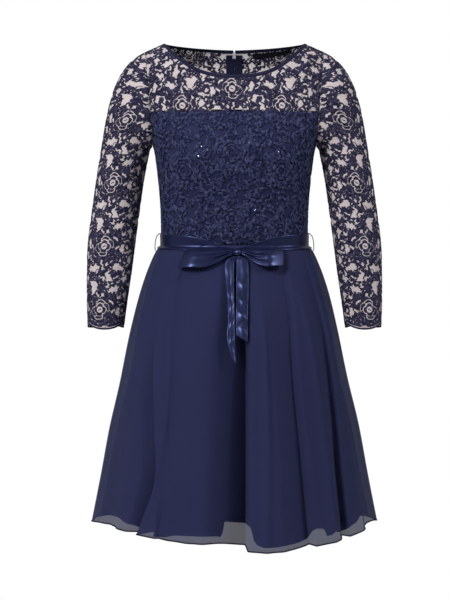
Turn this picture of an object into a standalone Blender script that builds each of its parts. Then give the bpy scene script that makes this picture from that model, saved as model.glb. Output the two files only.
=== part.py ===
# Cocktail dress: lace bodice and sleeves, ribbon belt with a bow, flared chiffon skirt.
# Sizes are in millimetres and turn into metres where a mesh is made (MM).
# +X is the wearer's left, -Y the front and +Z up. The origin lies midway between the
# shoulders, on the wearer's shoulder line, where the dress is held.
import math
from bisect import bisect_right
from collections import namedtuple
from functools import lru_cache

import bpy
from mathutils import Matrix, Vector
from mathutils.geometry import delaunay_2d_cdt

MM = 0.001
FRONT, BACK = -1, 1

# Cloth walls and the room between them
SEAM_GAP = 0.3
LINING_WALL = 1.2
LACE_WALL = 1.2
LACE_STANDOFF = 1.8        # body lining's inside to the lace's inside
SKIRT_WALL = 1.0
TAPE_WALL = 1.2

# Body sections, bottom to top; above the underarm the width is that of the whole
# chest, of which the armholes cut off the ends
Body = namedtuple("Body", "z half_width front_depth back_depth")
BODY = (
    Body(-378, 137.0, 88, 82),
    Body(-335, 137.5, 95, 85),
    Body(-290, 139.5, 104, 90),
    Body(-215, 147.5, 121, 102),
    Body(-190, 153.0, 120, 104),
    Body(-160, 168.0, 116, 104),
    Body(-120, 178.0, 106, 102),
    Body(-80, 184.0, 94, 98),
    Body(-40, 187.0, 84, 91),
    Body(10, 188.0, 78, 84),
)
BODY_SQUARENESS = 2.35     # exponent of the section's rounded oval
BUST_X, BUST_Z = 84, -215
BUST_SPREAD = 50
BUST_FULLNESS = 0.07
ARC_STEPS = 48
ARC_TOP = -100             # lengths round the body are measured no higher than this

# Shoulder: its ridge falls from the neck point, and the walls close over CLOSE_HEIGHT
WAIST_Z = -378
UNDERARM_Z = -190
NECK_HALF = 132
SHOULDER_TIP = 170
SHOULDER_FALL = 0.435
NECK_RISE = 0.25
CLOSE_HEIGHT = 75
RIDGE_TURN = math.pi / 2 - 0.002

# Neckline: height at the centre and how square the curve is
FRONT_NECK_Z, FRONT_NECK_POWER = -64, 2.5
BACK_NECK_Z, BACK_NECK_POWER = -4, 2.0
NECK_BAND = 6
NECK_BAND_WALL = 1.8
NECK_STATIONS = 12

Armhole = namedtuple("Armhole", "v x")
ARMHOLE = (
    Armhole(-190, 153),
    Armhole(-145, 155),
    Armhole(-100, 158),
    Armhole(-59, 162),
    Armhole(26.3, 170),
)
ARMHOLE_STATIONS = 12

# Bodice lining and the rows that lining and lace share
LINING_TOP = -131.6
LINING_ROWS = (-377.2, -346, -312, -278, -246, -216, -190, -160, LINING_TOP)
LINING_COLUMNS = 16
LINING_ARMHOLE_INSET = 6

# Centre-back zip
ZIP_HALF_GAP = 0.15
ZIP_NOTCH = 1.3            # half gap beside the slider
ZIP_NOTCH_Z = -17
TAPE_WIDTH = 16
TAPE_TOP_ROWS = (-104, -75, -48, -28, ZIP_NOTCH_Z, -10.5)

TapeInset = namedtuple("TapeInset", "z inset")
TAPE_INSET = (             # below the waist, from the skirt's inside
    TapeInset(-475, 6.5),
    TapeInset(-440, 4.4),
    TapeInset(-405, 3.6),
    TapeInset(-389, 3.5),
    TapeInset(-381.5, 1.8),
    TapeInset(-378.15, 1.8),
)

# Neck label on the inside of the wearer's left back
LABEL_X = (36, 54, 72, 90, 106)
LABEL_DROP = (7.5, 18)     # its top and bottom, below the neckline
LABEL_WALL = 1.0

# Lace: a rose repeats every COLUMN_PITCH by ROW_PITCH, and every other column is dropped
COLUMN_PITCH = 92
ROW_PITCH = 119
COLUMN_DROP = -31
BODY_ROSE = (-5, -90)
SLEEVE_ROSE = (11, -262)
Gap = namedtuple("Gap", "u v length width tilt bend")
LACE_GAPS = (
    Gap(20, -43, 27, 15, -15, 0.15),
    Gap(17, -74, 26, 19, 70, -0.12),
    Gap(-10, -56, 20, 12, 75, 0.10),
    Gap(-28, -40, 22, 14, 25, 0.10),
    Gap(-24, -80, 20, 13, -25, 0.10),
    Gap(41, -62, 17, 11, 85, 0.0),
    Gap(36, 4, 18, 10, 80, 0.0),
    Gap(-36, -4, 18, 10, -80, 0.0),
    Gap(-45, -60, 16, 11, -10, 0.0),
)
GAP_CORNERS = 6
GAP_MARGIN = 5
YOKE_POINT_PITCH = 30

# Sleeves: level sections of the wearer's left one
Sleeve = namedtuple("Sleeve", "z centre_x centre_y half_width half_depth")
SLEEVE = (
    Sleeve(-560, 246.5, -23, 32.5, 34.5),
    Sleeve(-534, 244.5, -21, 33.8, 36.0),
    Sleeve(-483, 241.8, -17, 37.8, 40.0),
    Sleeve(-428, 237.9, -13, 41.7, 44.0),
    Sleeve(-373, 233.5, -9, 44.3, 47.5),
    Sleeve(-318, 226.4, -5, 44.5, 50.0),
    Sleeve(-250, 216.8, -2, 44.6, 53.0),
    Sleeve(-200, 207.8, 0, 45.6, 54.0),
)
CAP_START = -200
SLEEVE_ROWS = (-238, -276, -314, -352, -390, -428, -466, -500)
CAP_ROWS = (0.28, 0.54, 0.78, 0.93)
CAP_STEPS = 24
CAP_LEAVE_SLEEVE = 0.40    # Bezier handles as shares of the cap's span
CAP_LEAVE_BODY = 0.33
CUFF_Z = -529
SCALLOP_DEPTH = 9
SCALLOPS = 3

# Skirt: level sections, top to bottom, read bottom to top by the tables' lookup
Skirt = namedtuple("Skirt", "z half_width front_depth back_depth squareness")
SKIRT = (
    Skirt(-912, 270.0, 245, 245, 2.05),
    Skirt(-820, 252.0, 231, 230, 2.05),
    Skirt(-730, 235.5, 215, 213, 2.05),
    Skirt(-640, 215.0, 196, 193, 2.05),
    Skirt(-550, 198.0, 172, 168, 2.08),
    Skirt(-490, 184.5, 150, 145, 2.12),
    Skirt(-450, 173.0, 130, 124, 2.18),
    Skirt(-420, 162.0, 115, 108, 2.25),
    Skirt(-390, 148.0, 98, 92, 2.32),
    Skirt(-381.5, 138.8, 89.8, 83.8, 2.35),
    Skirt(-378, 138.8, 89.8, 83.8, 2.35),
)
SKIRT_ROWS = (-378.15, -381.5, -389, -405, -440, -510, -610, -750, -912)
SKIRT_COLUMNS = 40         # on each half
Fold = namedtuple("Fold", "angle width depth start lean")
FOLDS = (
    Fold(-64, 8, 14, -560, 3),
    Fold(-42, 7, 34, -420, -4),
    Fold(-22, 10, 22, -500, 2),
    Fold(1, 8, 42, -500, 0),
    Fold(18, 6, 8, -640, 1),
    Fold(36, 7, 27, -430, 2),
    Fold(54, 7, 26, -470, 3),
    Fold(72, 6, 9, -600, 0),
    Fold(104, 8, 26, -430, 2),
    Fold(130, 8, 28, -440, -2),
    Fold(155, 7, 22, -480, 1),
    Fold(-156, 8, 26, -470, 2),
    Fold(-130, 7, 24, -430, -2),
    Fold(-106, 8, 28, -450, 0),
)

# Hem: lobes that stand far out hang a little higher
Hem = namedtuple("Hem", "angle lift")
HEM = (
    Hem(-180, 4),
    Hem(-120, 4),
    Hem(-90, 4),
    Hem(-75, 12),
    Hem(-60, 17),
    Hem(-42, 14),
    Hem(-25, 8),
    Hem(-8, 8),
    Hem(3, 0),
    Hem(12, -7),
    Hem(30, -5),
    Hem(45, 1),
    Hem(58, 6),
    Hem(70, 13),
    Hem(80, 11),
    Hem(90, 4),
    Hem(120, 4),
    Hem(180, 4),
)

# Skirt lining, hung inside the chiffon
LiningInset = namedtuple("LiningInset", "z inset")
LINING_INSET = (
    LiningInset(-912, 19),
    LiningInset(-480, 19),
    LiningInset(-430, 17),
    LiningInset(-400, 11),
    LiningInset(-387, 6.5),
    LiningInset(-381.5, 3.8),
    LiningInset(-378, 3.4),
)
LINING_FOLD_SHARE = 0.6
LINING_SKIRT_ROWS = (-378.15, -381.5, -391, -415, -460, -560, -710, -896)
LINING_SKIRT_COLUMNS = 26  # on each half
RECESS_LIFT = 26           # how much the lining's hem rises in the centre recess
RECESS_ANGLE, RECESS_WIDTH = 1, 7

# Ribbon belt: centre height and half width at angles from the front
RIBBON_WALL = 1.0
BeltOut = namedtuple("BeltOut", "z out")
BELT_OUT = (               # from the skirt's and lace's inside
    BeltOut(-398, 3.3),
    BeltOut(-386, 3.4),
    BeltOut(-379, 2.4),
    BeltOut(-355, 2.4),
)
Belt = namedtuple("Belt", "angle centre half_width")
BELT = (
    Belt(0, -391, 6),
    Belt(10, -389.5, 7.5),
    Belt(20, -386, 9.5),
    Belt(35, -379, 12.5),
    Belt(50, -374, 13.5),
    Belt(90, -373, 13.5),
    Belt(180, -373, 13.5),
)
BELT_COLUMNS = 48

# Bow: a knot, two loops and two tails of the same ribbon
KNOT_X, KNOT_Z = 4.6, -390
KNOT_SEAT_Z = -394.5        # where it rests on the sloping belt
KNOT_HALF = (8, 6.5, 7.5)   # across, outwards, up
KNOT_ROOM = 0.5
LOOP_START = {"left": 7.6, "right": 7.7}    # from the knot's middle, where it narrows
LOOP_REACH = {"left": 86, "right": 102}
LOOP_TIP_DROP = {"left": 9, "right": 12}
LOOP_TIP_SLANT = {"left": 0.0, "right": 0.4}
LOOP_HALF_WIDTH = 15
LOOP_PINCH = 5
Loop = namedtuple("Loop", "place reach out drop")
LOOP = (                    # from the knot behind, round the tip and back in front
    Loop(0, 0.00, 7.0, 0),
    Loop(1, 0.30, 7.9, -2),
    Loop(2, 0.62, 7.9, -3),
    Loop(3, 0.86, 9.0, -2),
    Loop(4, 0.97, 10.0, 0),
    Loop(5, 1.00, 13.5, 1),
    Loop(6, 0.97, 17.0, 2),
    Loop(7, 0.84, 20.0, 4),
    Loop(8, 0.60, 19.0, 7),
    Loop(9, 0.30, 14.0, 5),
    Loop(10, 0.00, 10.5, 0),
)
LOOP_SMOOTHING = 2
Tail = namedtuple("Tail", "z low high out")
TAILS = {
    "right": (
        Tail(-398.3, -3.5, 4.0, 9.5),
        Tail(-403, -13, 2.0, 6.5),
        Tail(-412, -18.5, -1.0, 4.6),
        Tail(-440, -16.5, -1.8, 4.0),
        Tail(-480, -13, -1.6, 4.0),
        Tail(-518, -12.5, -0.8, 3.5),
        Tail(-536, -14.5, -0.4, 4.0),
        Tail(-557, -12.6, 0.0, 4.0),
        Tail(-576, -6.7, 0.8, 3.5),
        Tail(-588, 1.2, 2.2, 3.5),
    ),
    "left": (
        Tail(-398.3, 5.0, 12.5, 9.5),
        Tail(-403, 4.0, 21, 6.5),
        Tail(-412, 3.0, 25, 4.6),
        Tail(-440, 2.7, 25, 4.0),
        Tail(-470, 2.7, 24.5, 3.0),
        Tail(-500, 2.4, 23.5, 5.0),
        Tail(-525, 2.4, 23, 3.5),
        Tail(-545, 3.0, 23, 4.0),
    ),
}
LEFT_TAIL_SLANT = 6         # its end hangs lower on the outside by twice this

# Thread loops that carry the belt at the side seams, in the plane of the seam
THREAD_RADIUS = 0.6
ThreadPoint = namedtuple("ThreadPoint", "x z")
THREAD_LOOP = (
    ThreadPoint(140.7, -358),
    ThreadPoint(144.6, -359.2),
    ThreadPoint(148.2, -363.5),
    ThreadPoint(150.4, -370),
    ThreadPoint(151.4, -377),
    ThreadPoint(151.8, -384),
    ThreadPoint(151.6, -388.5),
    ThreadPoint(150.6, -391.4),
)

# Zip slider and pull tab, drawn flat on the back at SLIDER_V: across, outwards, down
SLIDER_V = -11
SLIDER_BLOCKS = (          # centre across, outwards, down; size across, outwards, down
    ((0, -2.0, 0), (6.4, 2.0, 11)),
    ((0, 1.6, 0.5), (1.7, 6.0, 7)),
    ((0, 4.6, 0), (6.4, 1.4, 9)),
    ((-2.8, 6.8, 0), (0.8, 3.6, 3)),
    ((2.8, 6.8, 0), (0.8, 3.6, 3)),
)
SLIDER_PIVOT_OUT = 7.6
PIVOT_RADIUS = 0.6
EYE_INNER, EYE_OUTER = 1.0, 2.0
TAB_WIDTH, TAB_WALL, TAB_LENGTH = 4.0, 1.0, 24
TAB_LEAN = 12              # degrees from hanging straight down, lying on the back


def smooth_value(rows, place, column):
    """Value of a table's column at a place along its first column, on a smooth curve."""
    places = [row[0] for row in rows]
    values = [getattr(row, column) for row in rows]
    place = min(max(place, places[0]), places[-1])
    index = min(bisect_right(places, place) - 1, len(rows) - 2)
    slopes = []
    for i in (index, index + 1):
        before, after = max(i - 1, 0), min(i + 1, len(rows) - 1)
        slopes.append((values[after] - values[before]) / (places[after] - places[before]))
    span = places[index + 1] - places[index]
    t = (place - places[index]) / span
    return (
        values[index] * (1 + 2 * t) * (1 - t) ** 2
        + slopes[0] * span * t * (1 - t) ** 2
        + values[index + 1] * t * t * (3 - 2 * t)
        + slopes[1] * span * t * t * (t - 1)
    )


def straight_value(places, values, place):
    """Value at a place on straight lines between places in rising order."""
    index = min(max(bisect_right(places, place) - 1, 0), len(places) - 2)
    share = (place - places[index]) / (places[index + 1] - places[index])
    return values[index] + (values[index + 1] - values[index]) * min(max(share, 0), 1)


def ease(t):
    """Rise from 0 to 1 with level ends."""
    t = min(max(t, 0), 1)
    return t * t * (3 - 2 * t)


# ---- body surface: (u, v) is the flat cloth, u from the centre line, v upward ----

def body_depth_column(side):
    return "front_depth" if side == FRONT else "back_depth"


@lru_cache(maxsize=None)
def body_arc(side, level):
    """Points of a quarter section and their lengths from the centre line."""
    width = smooth_value(BODY, level, "half_width")
    depth = smooth_value(BODY, level, body_depth_column(side))
    xs, depths, lengths = [0.0], [depth], [0.0]
    for step in range(1, ARC_STEPS + 1):
        turn = math.pi / 2 * step / ARC_STEPS
        xs.append(width * math.sin(turn) ** (2 / BODY_SQUARENESS))
        depths.append(depth * max(math.cos(turn), 0) ** (2 / BODY_SQUARENESS))
        lengths.append(lengths[-1] + math.hypot(xs[-1] - xs[-2], depths[-1] - depths[-2]))
    return xs, depths, lengths


def flat_u(side, x, v):
    xs, _, lengths = body_arc(side, min(v, ARC_TOP))
    return math.copysign(straight_value(xs, lengths, abs(x)), x)


def ridge_z(x):
    outside = abs(x) - NECK_HALF
    return -SHOULDER_FALL * outside if outside > 0 else -NECK_RISE * outside


def flat_v(x, z):
    close = ridge_z(x) - CLOSE_HEIGHT
    if z <= close:
        return z
    return close + CLOSE_HEIGHT * math.asin(min((z - close) / CLOSE_HEIGHT, 1))


def ridge_v(x):
    return ridge_z(x) - CLOSE_HEIGHT + CLOSE_HEIGHT * RIDGE_TURN


def body_point(side, u, v):
    xs, depths, lengths = body_arc(side, min(v, ARC_TOP))
    x = math.copysign(straight_value(lengths, xs, abs(u)), u)
    close = ridge_z(x) - CLOSE_HEIGHT
    turn = min(max((v - close) / CLOSE_HEIGHT, 0), RIDGE_TURN)
    z = v if v <= close else close + CLOSE_HEIGHT * math.sin(turn)
    if v <= ARC_TOP:
        depth = straight_value(lengths, depths, abs(u))
    else:
        level = min(z, close)
        width = smooth_value(BODY, level, "half_width")
        depth = smooth_value(BODY, level, body_depth_column(side))
        depth *= (1 - (abs(x) / width) ** BODY_SQUARENESS) ** (1 / BODY_SQUARENESS)
    if side == FRONT:
        for bust_x in (-BUST_X, BUST_X):
            away = (x - bust_x) ** 2 + (z - BUST_Z) ** 2
            depth *= 1 + BUST_FULLNESS * math.exp(-away / (2 * BUST_SPREAD ** 2))
    return Vector((x, side * depth * math.cos(turn), z))


def body_normal(side, u, v, step=1.0):
    limit = body_arc(side, min(v, ARC_TOP))[2][-1]
    across = body_point(side, min(u + step, limit), v) - body_point(side, max(u - step, -limit), v)
    upward = body_point(side, u, v + step) - body_point(side, u, v - step)
    return (across.cross(upward) * -side).normalized()


def body_out(side, u, v, distance):
    """Point of the body surface moved out along its normal."""
    return body_point(side, u, v) + body_normal(side, u, v) * distance


def armhole_x(v):
    return smooth_value(ARMHOLE, v, "x")


def side_u(side, v):
    """Flat place of the panel's right edge: side seam, then armhole."""
    if v <= UNDERARM_Z:
        return body_arc(side, v)[2][-1] - SEAM_GAP / 2
    return flat_u(side, armhole_x(v), v)


@lru_cache(maxsize=None)
def armhole_lengths(side):
    """Heights down the armhole from the shoulder tip, and the lengths to them."""
    top = ridge_v(SHOULDER_TIP)
    heights = [top + (UNDERARM_Z - top) * step / 60 for step in range(61)]
    points = [body_point(side, side_u(side, v), v) for v in heights]
    lengths = [0.0]
    for before, after in zip(points, points[1:]):
        lengths.append(lengths[-1] + (after - before).length)
    return heights, lengths


def armhole_v(side, share):
    """Flat height at a share of the armhole from the shoulder tip to the underarm."""
    heights, lengths = armhole_lengths(side)
    return straight_value(lengths, heights, share * lengths[-1])


def armhole_frame(side, share):
    """Point on the armhole, the body's normal there, and the way off the panel's edge."""
    v = armhole_v(side, share)
    u = side_u(side, v)
    edge = body_point(side, u, v)
    normal = body_normal(side, u, v)
    nearby = [body_point(side, side_u(side, w), w)
              for w in (armhole_v(side, min(share + 0.01, 1)), armhole_v(side, max(share - 0.01, 0)))]
    off_edge = (nearby[0] - nearby[1]).cross(normal).normalized()
    inside = body_point(side, u - 5, v)
    if off_edge.dot(edge - inside) < 0:
        off_edge.negate()
    return edge, normal, off_edge


# ---- sleeve surface: (u, v) flat, u from the front line towards the outside ----

def sleeve_radius(z):
    return (smooth_value(SLEEVE, z, "half_width") + smooth_value(SLEEVE, z, "half_depth")) / 2


def sleeve_ring(turn, z):
    """Point at a turn in degrees: 0 outside, 90 front, 180 underarm, -90 back."""
    angle = math.radians(turn)
    return Vector((
        smooth_value(SLEEVE, z, "centre_x") + smooth_value(SLEEVE, z, "half_width") * math.cos(angle),
        smooth_value(SLEEVE, z, "centre_y") - smooth_value(SLEEVE, z, "half_depth") * math.sin(angle),
        z,
    ))


def cap_direction(turn):
    """Way the cap leaves the armhole seam."""
    under = ease((abs(turn) - 90) / 90)
    return Vector((
        0.9 - 0.55 * under,
        -0.45 * math.sin(math.radians(turn)),
        -0.42 - 0.6 * under,
    )).normalized()


@lru_cache(maxsize=None)
def cap_line(turn):
    """Points and lengths of the cap's line at a turn, from the tube to the armhole."""
    side = FRONT if turn >= 0 else BACK
    share = abs(turn) / 180
    edge, normal, off_edge = armhole_frame(side, share)
    leave = cap_direction(turn)
    lap = min(max(leave.dot(normal) / 0.35, 0), 1)
    lapped = LACE_STANDOFF + LACE_WALL + 0.5
    raised = LACE_STANDOFF + (lapped - LACE_STANDOFF) * lap + LACE_WALL * ease((share - 0.8) / 0.2)
    seam = edge + normal * raised + off_edge * 0.45 * (1 - lap)
    start = sleeve_ring(turn, CAP_START)
    upward = (start - sleeve_ring(turn, CAP_START - 6)).normalized()
    span = (seam - start).length
    controls = (
        start,
        start + upward * CAP_LEAVE_SLEEVE * span,
        seam + leave * CAP_LEAVE_BODY * span,
        seam,
    )
    points = []
    for step in range(CAP_STEPS + 1):
        t = step / CAP_STEPS
        weights = ((1 - t) ** 3, 3 * t * (1 - t) ** 2, 3 * t * t * (1 - t), t ** 3)
        points.append(sum((c * w for c, w in zip(controls, weights)), Vector()))
    lengths = [0.0]
    for before, after in zip(points, points[1:]):
        lengths.append(lengths[-1] + (after - before).length)
    return points, lengths


def cap_length(turn):
    return cap_line(turn)[1][-1]


def sleeve_turn(u, v):
    return 90 - math.degrees(u / sleeve_radius(min(v, CAP_START)))


def sleeve_u(turn, v):
    return math.radians(90 - turn) * sleeve_radius(min(v, CAP_START))


def sleeve_point(half, u, v):
    """Point of the wearer's left sleeve; half keeps the turn on one side of its seams."""
    turn = sleeve_turn(u, v)
    turn = min(max(turn, 0), 180) if half == FRONT else min(max(turn, -180), -1e-9)
    if v <= CAP_START:
        return sleeve_ring(turn, v)
    points, lengths = cap_line(turn)
    up = min(v - CAP_START, lengths[-1])
    index = min(bisect_right(lengths, up) - 1, CAP_STEPS - 1)
    share = (up - lengths[index]) / (lengths[index + 1] - lengths[index])
    return points[index].lerp(points[index + 1], share)


# ---- skirt surface: angle from the front in degrees, towards the wearer's left ----

def oval_radius(angle, width, depth, squareness):
    turn = math.radians(angle)
    across = abs(math.sin(turn) / width) ** squareness
    along = abs(math.cos(turn) / depth) ** squareness
    return (across + along) ** (-1 / squareness)


def angle_between(a, b):
    return (a - b + 180) % 360 - 180


def fold_depth(angle, z):
    """How far the folds draw the skirt in."""
    total = 0
    for fold in FOLDS:
        drop = (fold.start - z) / (fold.start - SKIRT[0].z)
        if drop > 0:
            away = angle_between(angle, fold.angle - fold.lean * (1 - drop)) / fold.width
            total += fold.depth * ease(drop * 0.55 + 0.05) / ease(0.6) * math.exp(-away * away)
    return total


def skirt_radius(angle, z):
    """Radius of the skirt without its folds; above the waist, of the lace's inside."""
    front = abs(angle_between(angle, 0)) <= 90
    column = "front_depth" if front else "back_depth"
    if z > WAIST_Z:
        width = smooth_value(BODY, z, "half_width")
        depth = smooth_value(BODY, z, column)
        return oval_radius(angle, width, depth, BODY_SQUARENESS) + LACE_STANDOFF
    width = smooth_value(SKIRT, z, "half_width")
    depth = smooth_value(SKIRT, z, column)
    return oval_radius(angle, width, depth, smooth_value(SKIRT, z, "squareness"))


def round_point(angle, radius, z):
    turn = math.radians(angle)
    return Vector((radius * math.sin(turn), -radius * math.cos(turn), z))


# ---- flat patterns ----

def inside_loop(point, loop):
    u, v = point
    odd = False
    for (u0, v0), (u1, v1) in zip(loop, loop[1:] + loop[:1]):
        if (v0 > v) != (v1 > v) and u < u0 + (v - v0) * (u1 - u0) / (v1 - v0):
            odd = not odd
    return odd


def loop_distance(point, loop):
    """Distance from a flat point to a loop's edge."""
    here = Vector(point)
    nearest = 1e9
    for start, end in zip(loop, loop[1:] + loop[:1]):
        a, b = Vector(start), Vector(end)
        run = b - a
        share = min(max((here - a).dot(run) / max(run.length_squared, 1e-12), 0), 1)
        nearest = min(nearest, (here - a - run * share).length)
    return nearest


def lace_gap_loops(rose, low, high):
    """Outlines of the lace's large gaps in the flat box from low to high."""
    loops = []
    for column in range(-5, 6):
        for row in range(-5, 6):
            centre_u = rose[0] + column * COLUMN_PITCH
            centre_v = rose[1] + row * ROW_PITCH + (column % 2) * COLUMN_DROP
            for gap in LACE_GAPS:
                middle = (centre_u + gap.u, centre_v + gap.v)
                if not (low[0] < middle[0] < high[0] and low[1] < middle[1] < high[1]):
                    continue
                tilt = math.radians(gap.tilt)
                loop = []
                for corner in range(GAP_CORNERS):
                    turn = 2 * math.pi * corner / GAP_CORNERS
                    along = gap.length / 2 * math.cos(turn)
                    side = gap.width / 2 * math.sin(turn) * 1.12
                    side += gap.bend * 2 * along * along / gap.length
                    loop.append((
                        middle[0] + along * math.cos(tilt) - side * math.sin(tilt),
                        middle[1] + along * math.sin(tilt) + side * math.cos(tilt),
                    ))
                loops.append(loop)
    return loops


def gaps_that_fit(loops, outline, blocked):
    """Gaps a margin inside the outline and clear of the blocked rings."""
    kept = []
    for loop in loops:
        if not all(inside_loop(p, outline) and loop_distance(p, outline) > GAP_MARGIN for p in loop):
            continue
        if any(inside_loop(p, ring) or loop_distance(p, ring) < GAP_MARGIN
               for p in loop for ring in blocked):
            continue
        kept.append(loop)
    return kept


def cell_triangles(rows, columns):
    """Triangles over a grid of points stored row by row."""
    triangles = []
    for row in range(rows - 1):
        for column in range(columns - 1):
            a = row * columns + column
            b, c, d = a + 1, a + columns + 1, a + columns
            triangles += [(a, b, c), (a, c, d)]
    return triangles


def cut_flat(outline, gaps, grids, spare_points, spacing):
    """Triangulate a flat panel; grids keep their own triangles inside it."""
    coords, edges = [], []

    def add_loop(loop):
        first = len(coords)
        coords.extend(Vector(p) for p in loop)
        edges.extend((first + i, first + (i + 1) % len(loop)) for i in range(len(loop)))

    add_loop(outline)
    for gap in gaps:
        add_loop(gap)
    for rows in grids:
        first = len(coords)
        columns = len(rows[0])
        coords.extend(Vector(p) for row in rows for p in row)
        for triangle in cell_triangles(len(rows), columns):
            corners = [first + i for i in triangle]
            edges.extend(zip(corners, corners[1:] + corners[:1]))
    for point in spare_points:
        if not inside_loop(point, outline) or any(inside_loop(point, gap) for gap in gaps):
            continue
        if min(loop_distance(point, loop) for loop in [outline] + gaps) < spacing:
            continue
        if any((Vector(point) - other).length < spacing for other in coords):
            continue
        coords.append(Vector(point))
    points, _, faces, _, _, _ = delaunay_2d_cdt(coords, edges, [], 0, 1e-4)
    kept = []
    for face in faces:
        middle = sum((points[i] for i in face), Vector((0, 0))) / 3
        if inside_loop(middle, outline) and not any(inside_loop(middle, gap) for gap in gaps):
            kept.append(tuple(face))
    return points, kept


# ---- objects ----

for old_object in list(bpy.data.objects):
    bpy.data.objects.remove(old_object, do_unlink=True)
dress = bpy.data.collections.new("cocktail_dress")
bpy.context.scene.collection.children.link(dress)

Finish = namedtuple("Finish", "red green blue roughness metallic")
FINISHES = {
    "lace": Finish(0.022, 0.019, 0.045, 0.75, 0),
    "lining": Finish(0.020, 0.024, 0.052, 0.6, 0),
    "chiffon": Finish(0.026, 0.030, 0.078, 0.8, 0),
    "satin": Finish(0.016, 0.026, 0.095, 0.3, 0),
    "binding": Finish(0.012, 0.012, 0.028, 0.7, 0),
    "label": Finish(0.008, 0.008, 0.012, 0.6, 0),
    "tape": Finish(0.018, 0.020, 0.048, 0.75, 0),
    "zip_metal": Finish(0.72, 0.72, 0.74, 0.3, 1),
}


def finish_object(obj, finish):
    """Give an object its own material and put it with the dress."""
    look = FINISHES[finish]
    material = bpy.data.materials.new(obj.name)
    material.use_nodes = True
    shader = material.node_tree.nodes["Principled BSDF"]
    shader.inputs["Base Color"].default_value = (look.red, look.green, look.blue, 1)
    shader.inputs["Roughness"].default_value = look.roughness
    shader.inputs["Metallic"].default_value = look.metallic
    obj.data.materials.clear()
    obj.data.materials.append(material)
    for collection in list(obj.users_collection):
        collection.objects.unlink(obj)
    dress.objects.link(obj)
    return obj


def cloth(name, points, faces, wall, finish, flip=False):
    """Open surface with a wall that grows outwards."""
    mesh = bpy.data.meshes.new(name)
    faces = [tuple(reversed(face)) for face in faces] if flip else faces
    mesh.from_pydata([point * MM for point in points], [], faces)
    mesh.shade_smooth()
    obj = finish_object(bpy.data.objects.new(name, mesh), finish)
    solid = obj.modifiers.new("Wall", "SOLIDIFY")
    solid.thickness = wall * MM
    solid.offset = 1
    return obj


# ---- bodice ----

def neckline_z(side, x):
    depth, power = ((FRONT_NECK_Z, FRONT_NECK_POWER) if side == FRONT
                    else (BACK_NECK_Z, BACK_NECK_POWER))
    return depth * (1 - (abs(x) / NECK_HALF) ** power)


def neck_flat(side, inset):
    """Neckline in the flat from the wearer's right to left, moved into the panel."""
    line = []
    for station in range(NECK_STATIONS + 1):
        x = NECK_HALF * math.sin(math.pi * (station / NECK_STATIONS - 0.5))
        v = min(flat_v(x, neckline_z(side, x)), ridge_v(x))
        line.append(Vector((flat_u(side, x, v), v)))
    moved = []
    for i in range(1, NECK_STATIONS):
        along = (line[i + 1] - line[i - 1]).normalized()
        moved.append(line[i] + Vector((along.y, -along.x)) * inset)
    end_x = NECK_HALF + inset * math.cos(math.atan(SHOULDER_FALL))
    end = Vector((flat_u(side, end_x, 0), ridge_v(end_x)))
    return [Vector((-end.x, end.y))] + moved + [end]


def lining_u(side, v):
    """Right edge of the lining, drawn in beside the armhole."""
    return side_u(side, v) - LINING_ARMHOLE_INSET * ease((v - UNDERARM_Z) / 20)


def shoulder_flat(side):
    """Shoulder seam between the neck band and the tip, without its ends."""
    start = NECK_HALF + (NECK_BAND + 2 * SEAM_GAP) * math.cos(math.atan(SHOULDER_FALL))
    x = (start + SHOULDER_TIP) / 2
    return [Vector((flat_u(side, x, 0), ridge_v(x)))]


def armhole_flat(side):
    """Armhole from the shoulder tip to the underarm in the flat."""
    heights = [armhole_v(side, station / ARMHOLE_STATIONS) for station in range(ARMHOLE_STATIONS + 1)]
    return [Vector((side_u(side, v), v)) for v in heights]


def right_edge_flat(side):
    """Shoulder seam, armhole and side seam, top to bottom."""
    seam = [Vector((side_u(side, v), v)) for v in reversed(LINING_ROWS) if v < UNDERARM_Z]
    return shoulder_flat(side) + armhole_flat(side) + seam


def even_row(start, end, v, count):
    return [(start + (end - start) * i / count, v) for i in range(count + 1)]


def spare_flat(low, high, pitch):
    """Loose points over a flat box, every other row shifted."""
    points = []
    rows = int((high[1] - low[1]) / pitch)
    columns = int((high[0] - low[0]) / pitch)
    for row in range(rows + 1):
        for column in range(columns + 1):
            points.append((low[0] + (column + row % 2 / 2) * pitch, low[1] + row * pitch))
    return points


def grid_cloth(name, rows, place, wall, finish, flip=False):
    """Cloth over a grid of flat places."""
    points = [place(u, v) for row in rows for u, v in row]
    return cloth(name, points, cell_triangles(len(rows), len(rows[0])), wall, finish, flip)


def build_bodice_front():
    rows = [even_row(-lining_u(FRONT, v), lining_u(FRONT, v), v, LINING_COLUMNS) for v in LINING_ROWS]
    grid_cloth("bodice_lining_front", rows, lambda u, v: body_point(FRONT, u, v), LINING_WALL, "lining")
    neck = neck_flat(FRONT, NECK_BAND + 2 * SEAM_GAP)
    right = right_edge_flat(FRONT)
    left = [Vector((-p.x, p.y)) for p in reversed(right)]
    waist = [Vector(p) for p in reversed(rows[0][1:-1])]
    outline = [tuple(p) for p in neck + right + waist + left]
    gaps = lace_gap_loops(BODY_ROSE, (-200, LINING_TOP), (200, 40))
    lining_edge = [rows[-1][0], rows[-1][-1], rows[0][-1], rows[0][0]]
    gaps = gaps_that_fit(gaps, outline, [lining_edge])
    spare = spare_flat((-165, -110), (180, 40), YOKE_POINT_PITCH)
    flat, faces = cut_flat(outline, gaps, [rows], spare, 10)
    points = [body_out(FRONT, p.x, p.y, LACE_STANDOFF) for p in flat]
    cloth("lace_front", points, faces, LACE_WALL, "lace")


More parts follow.
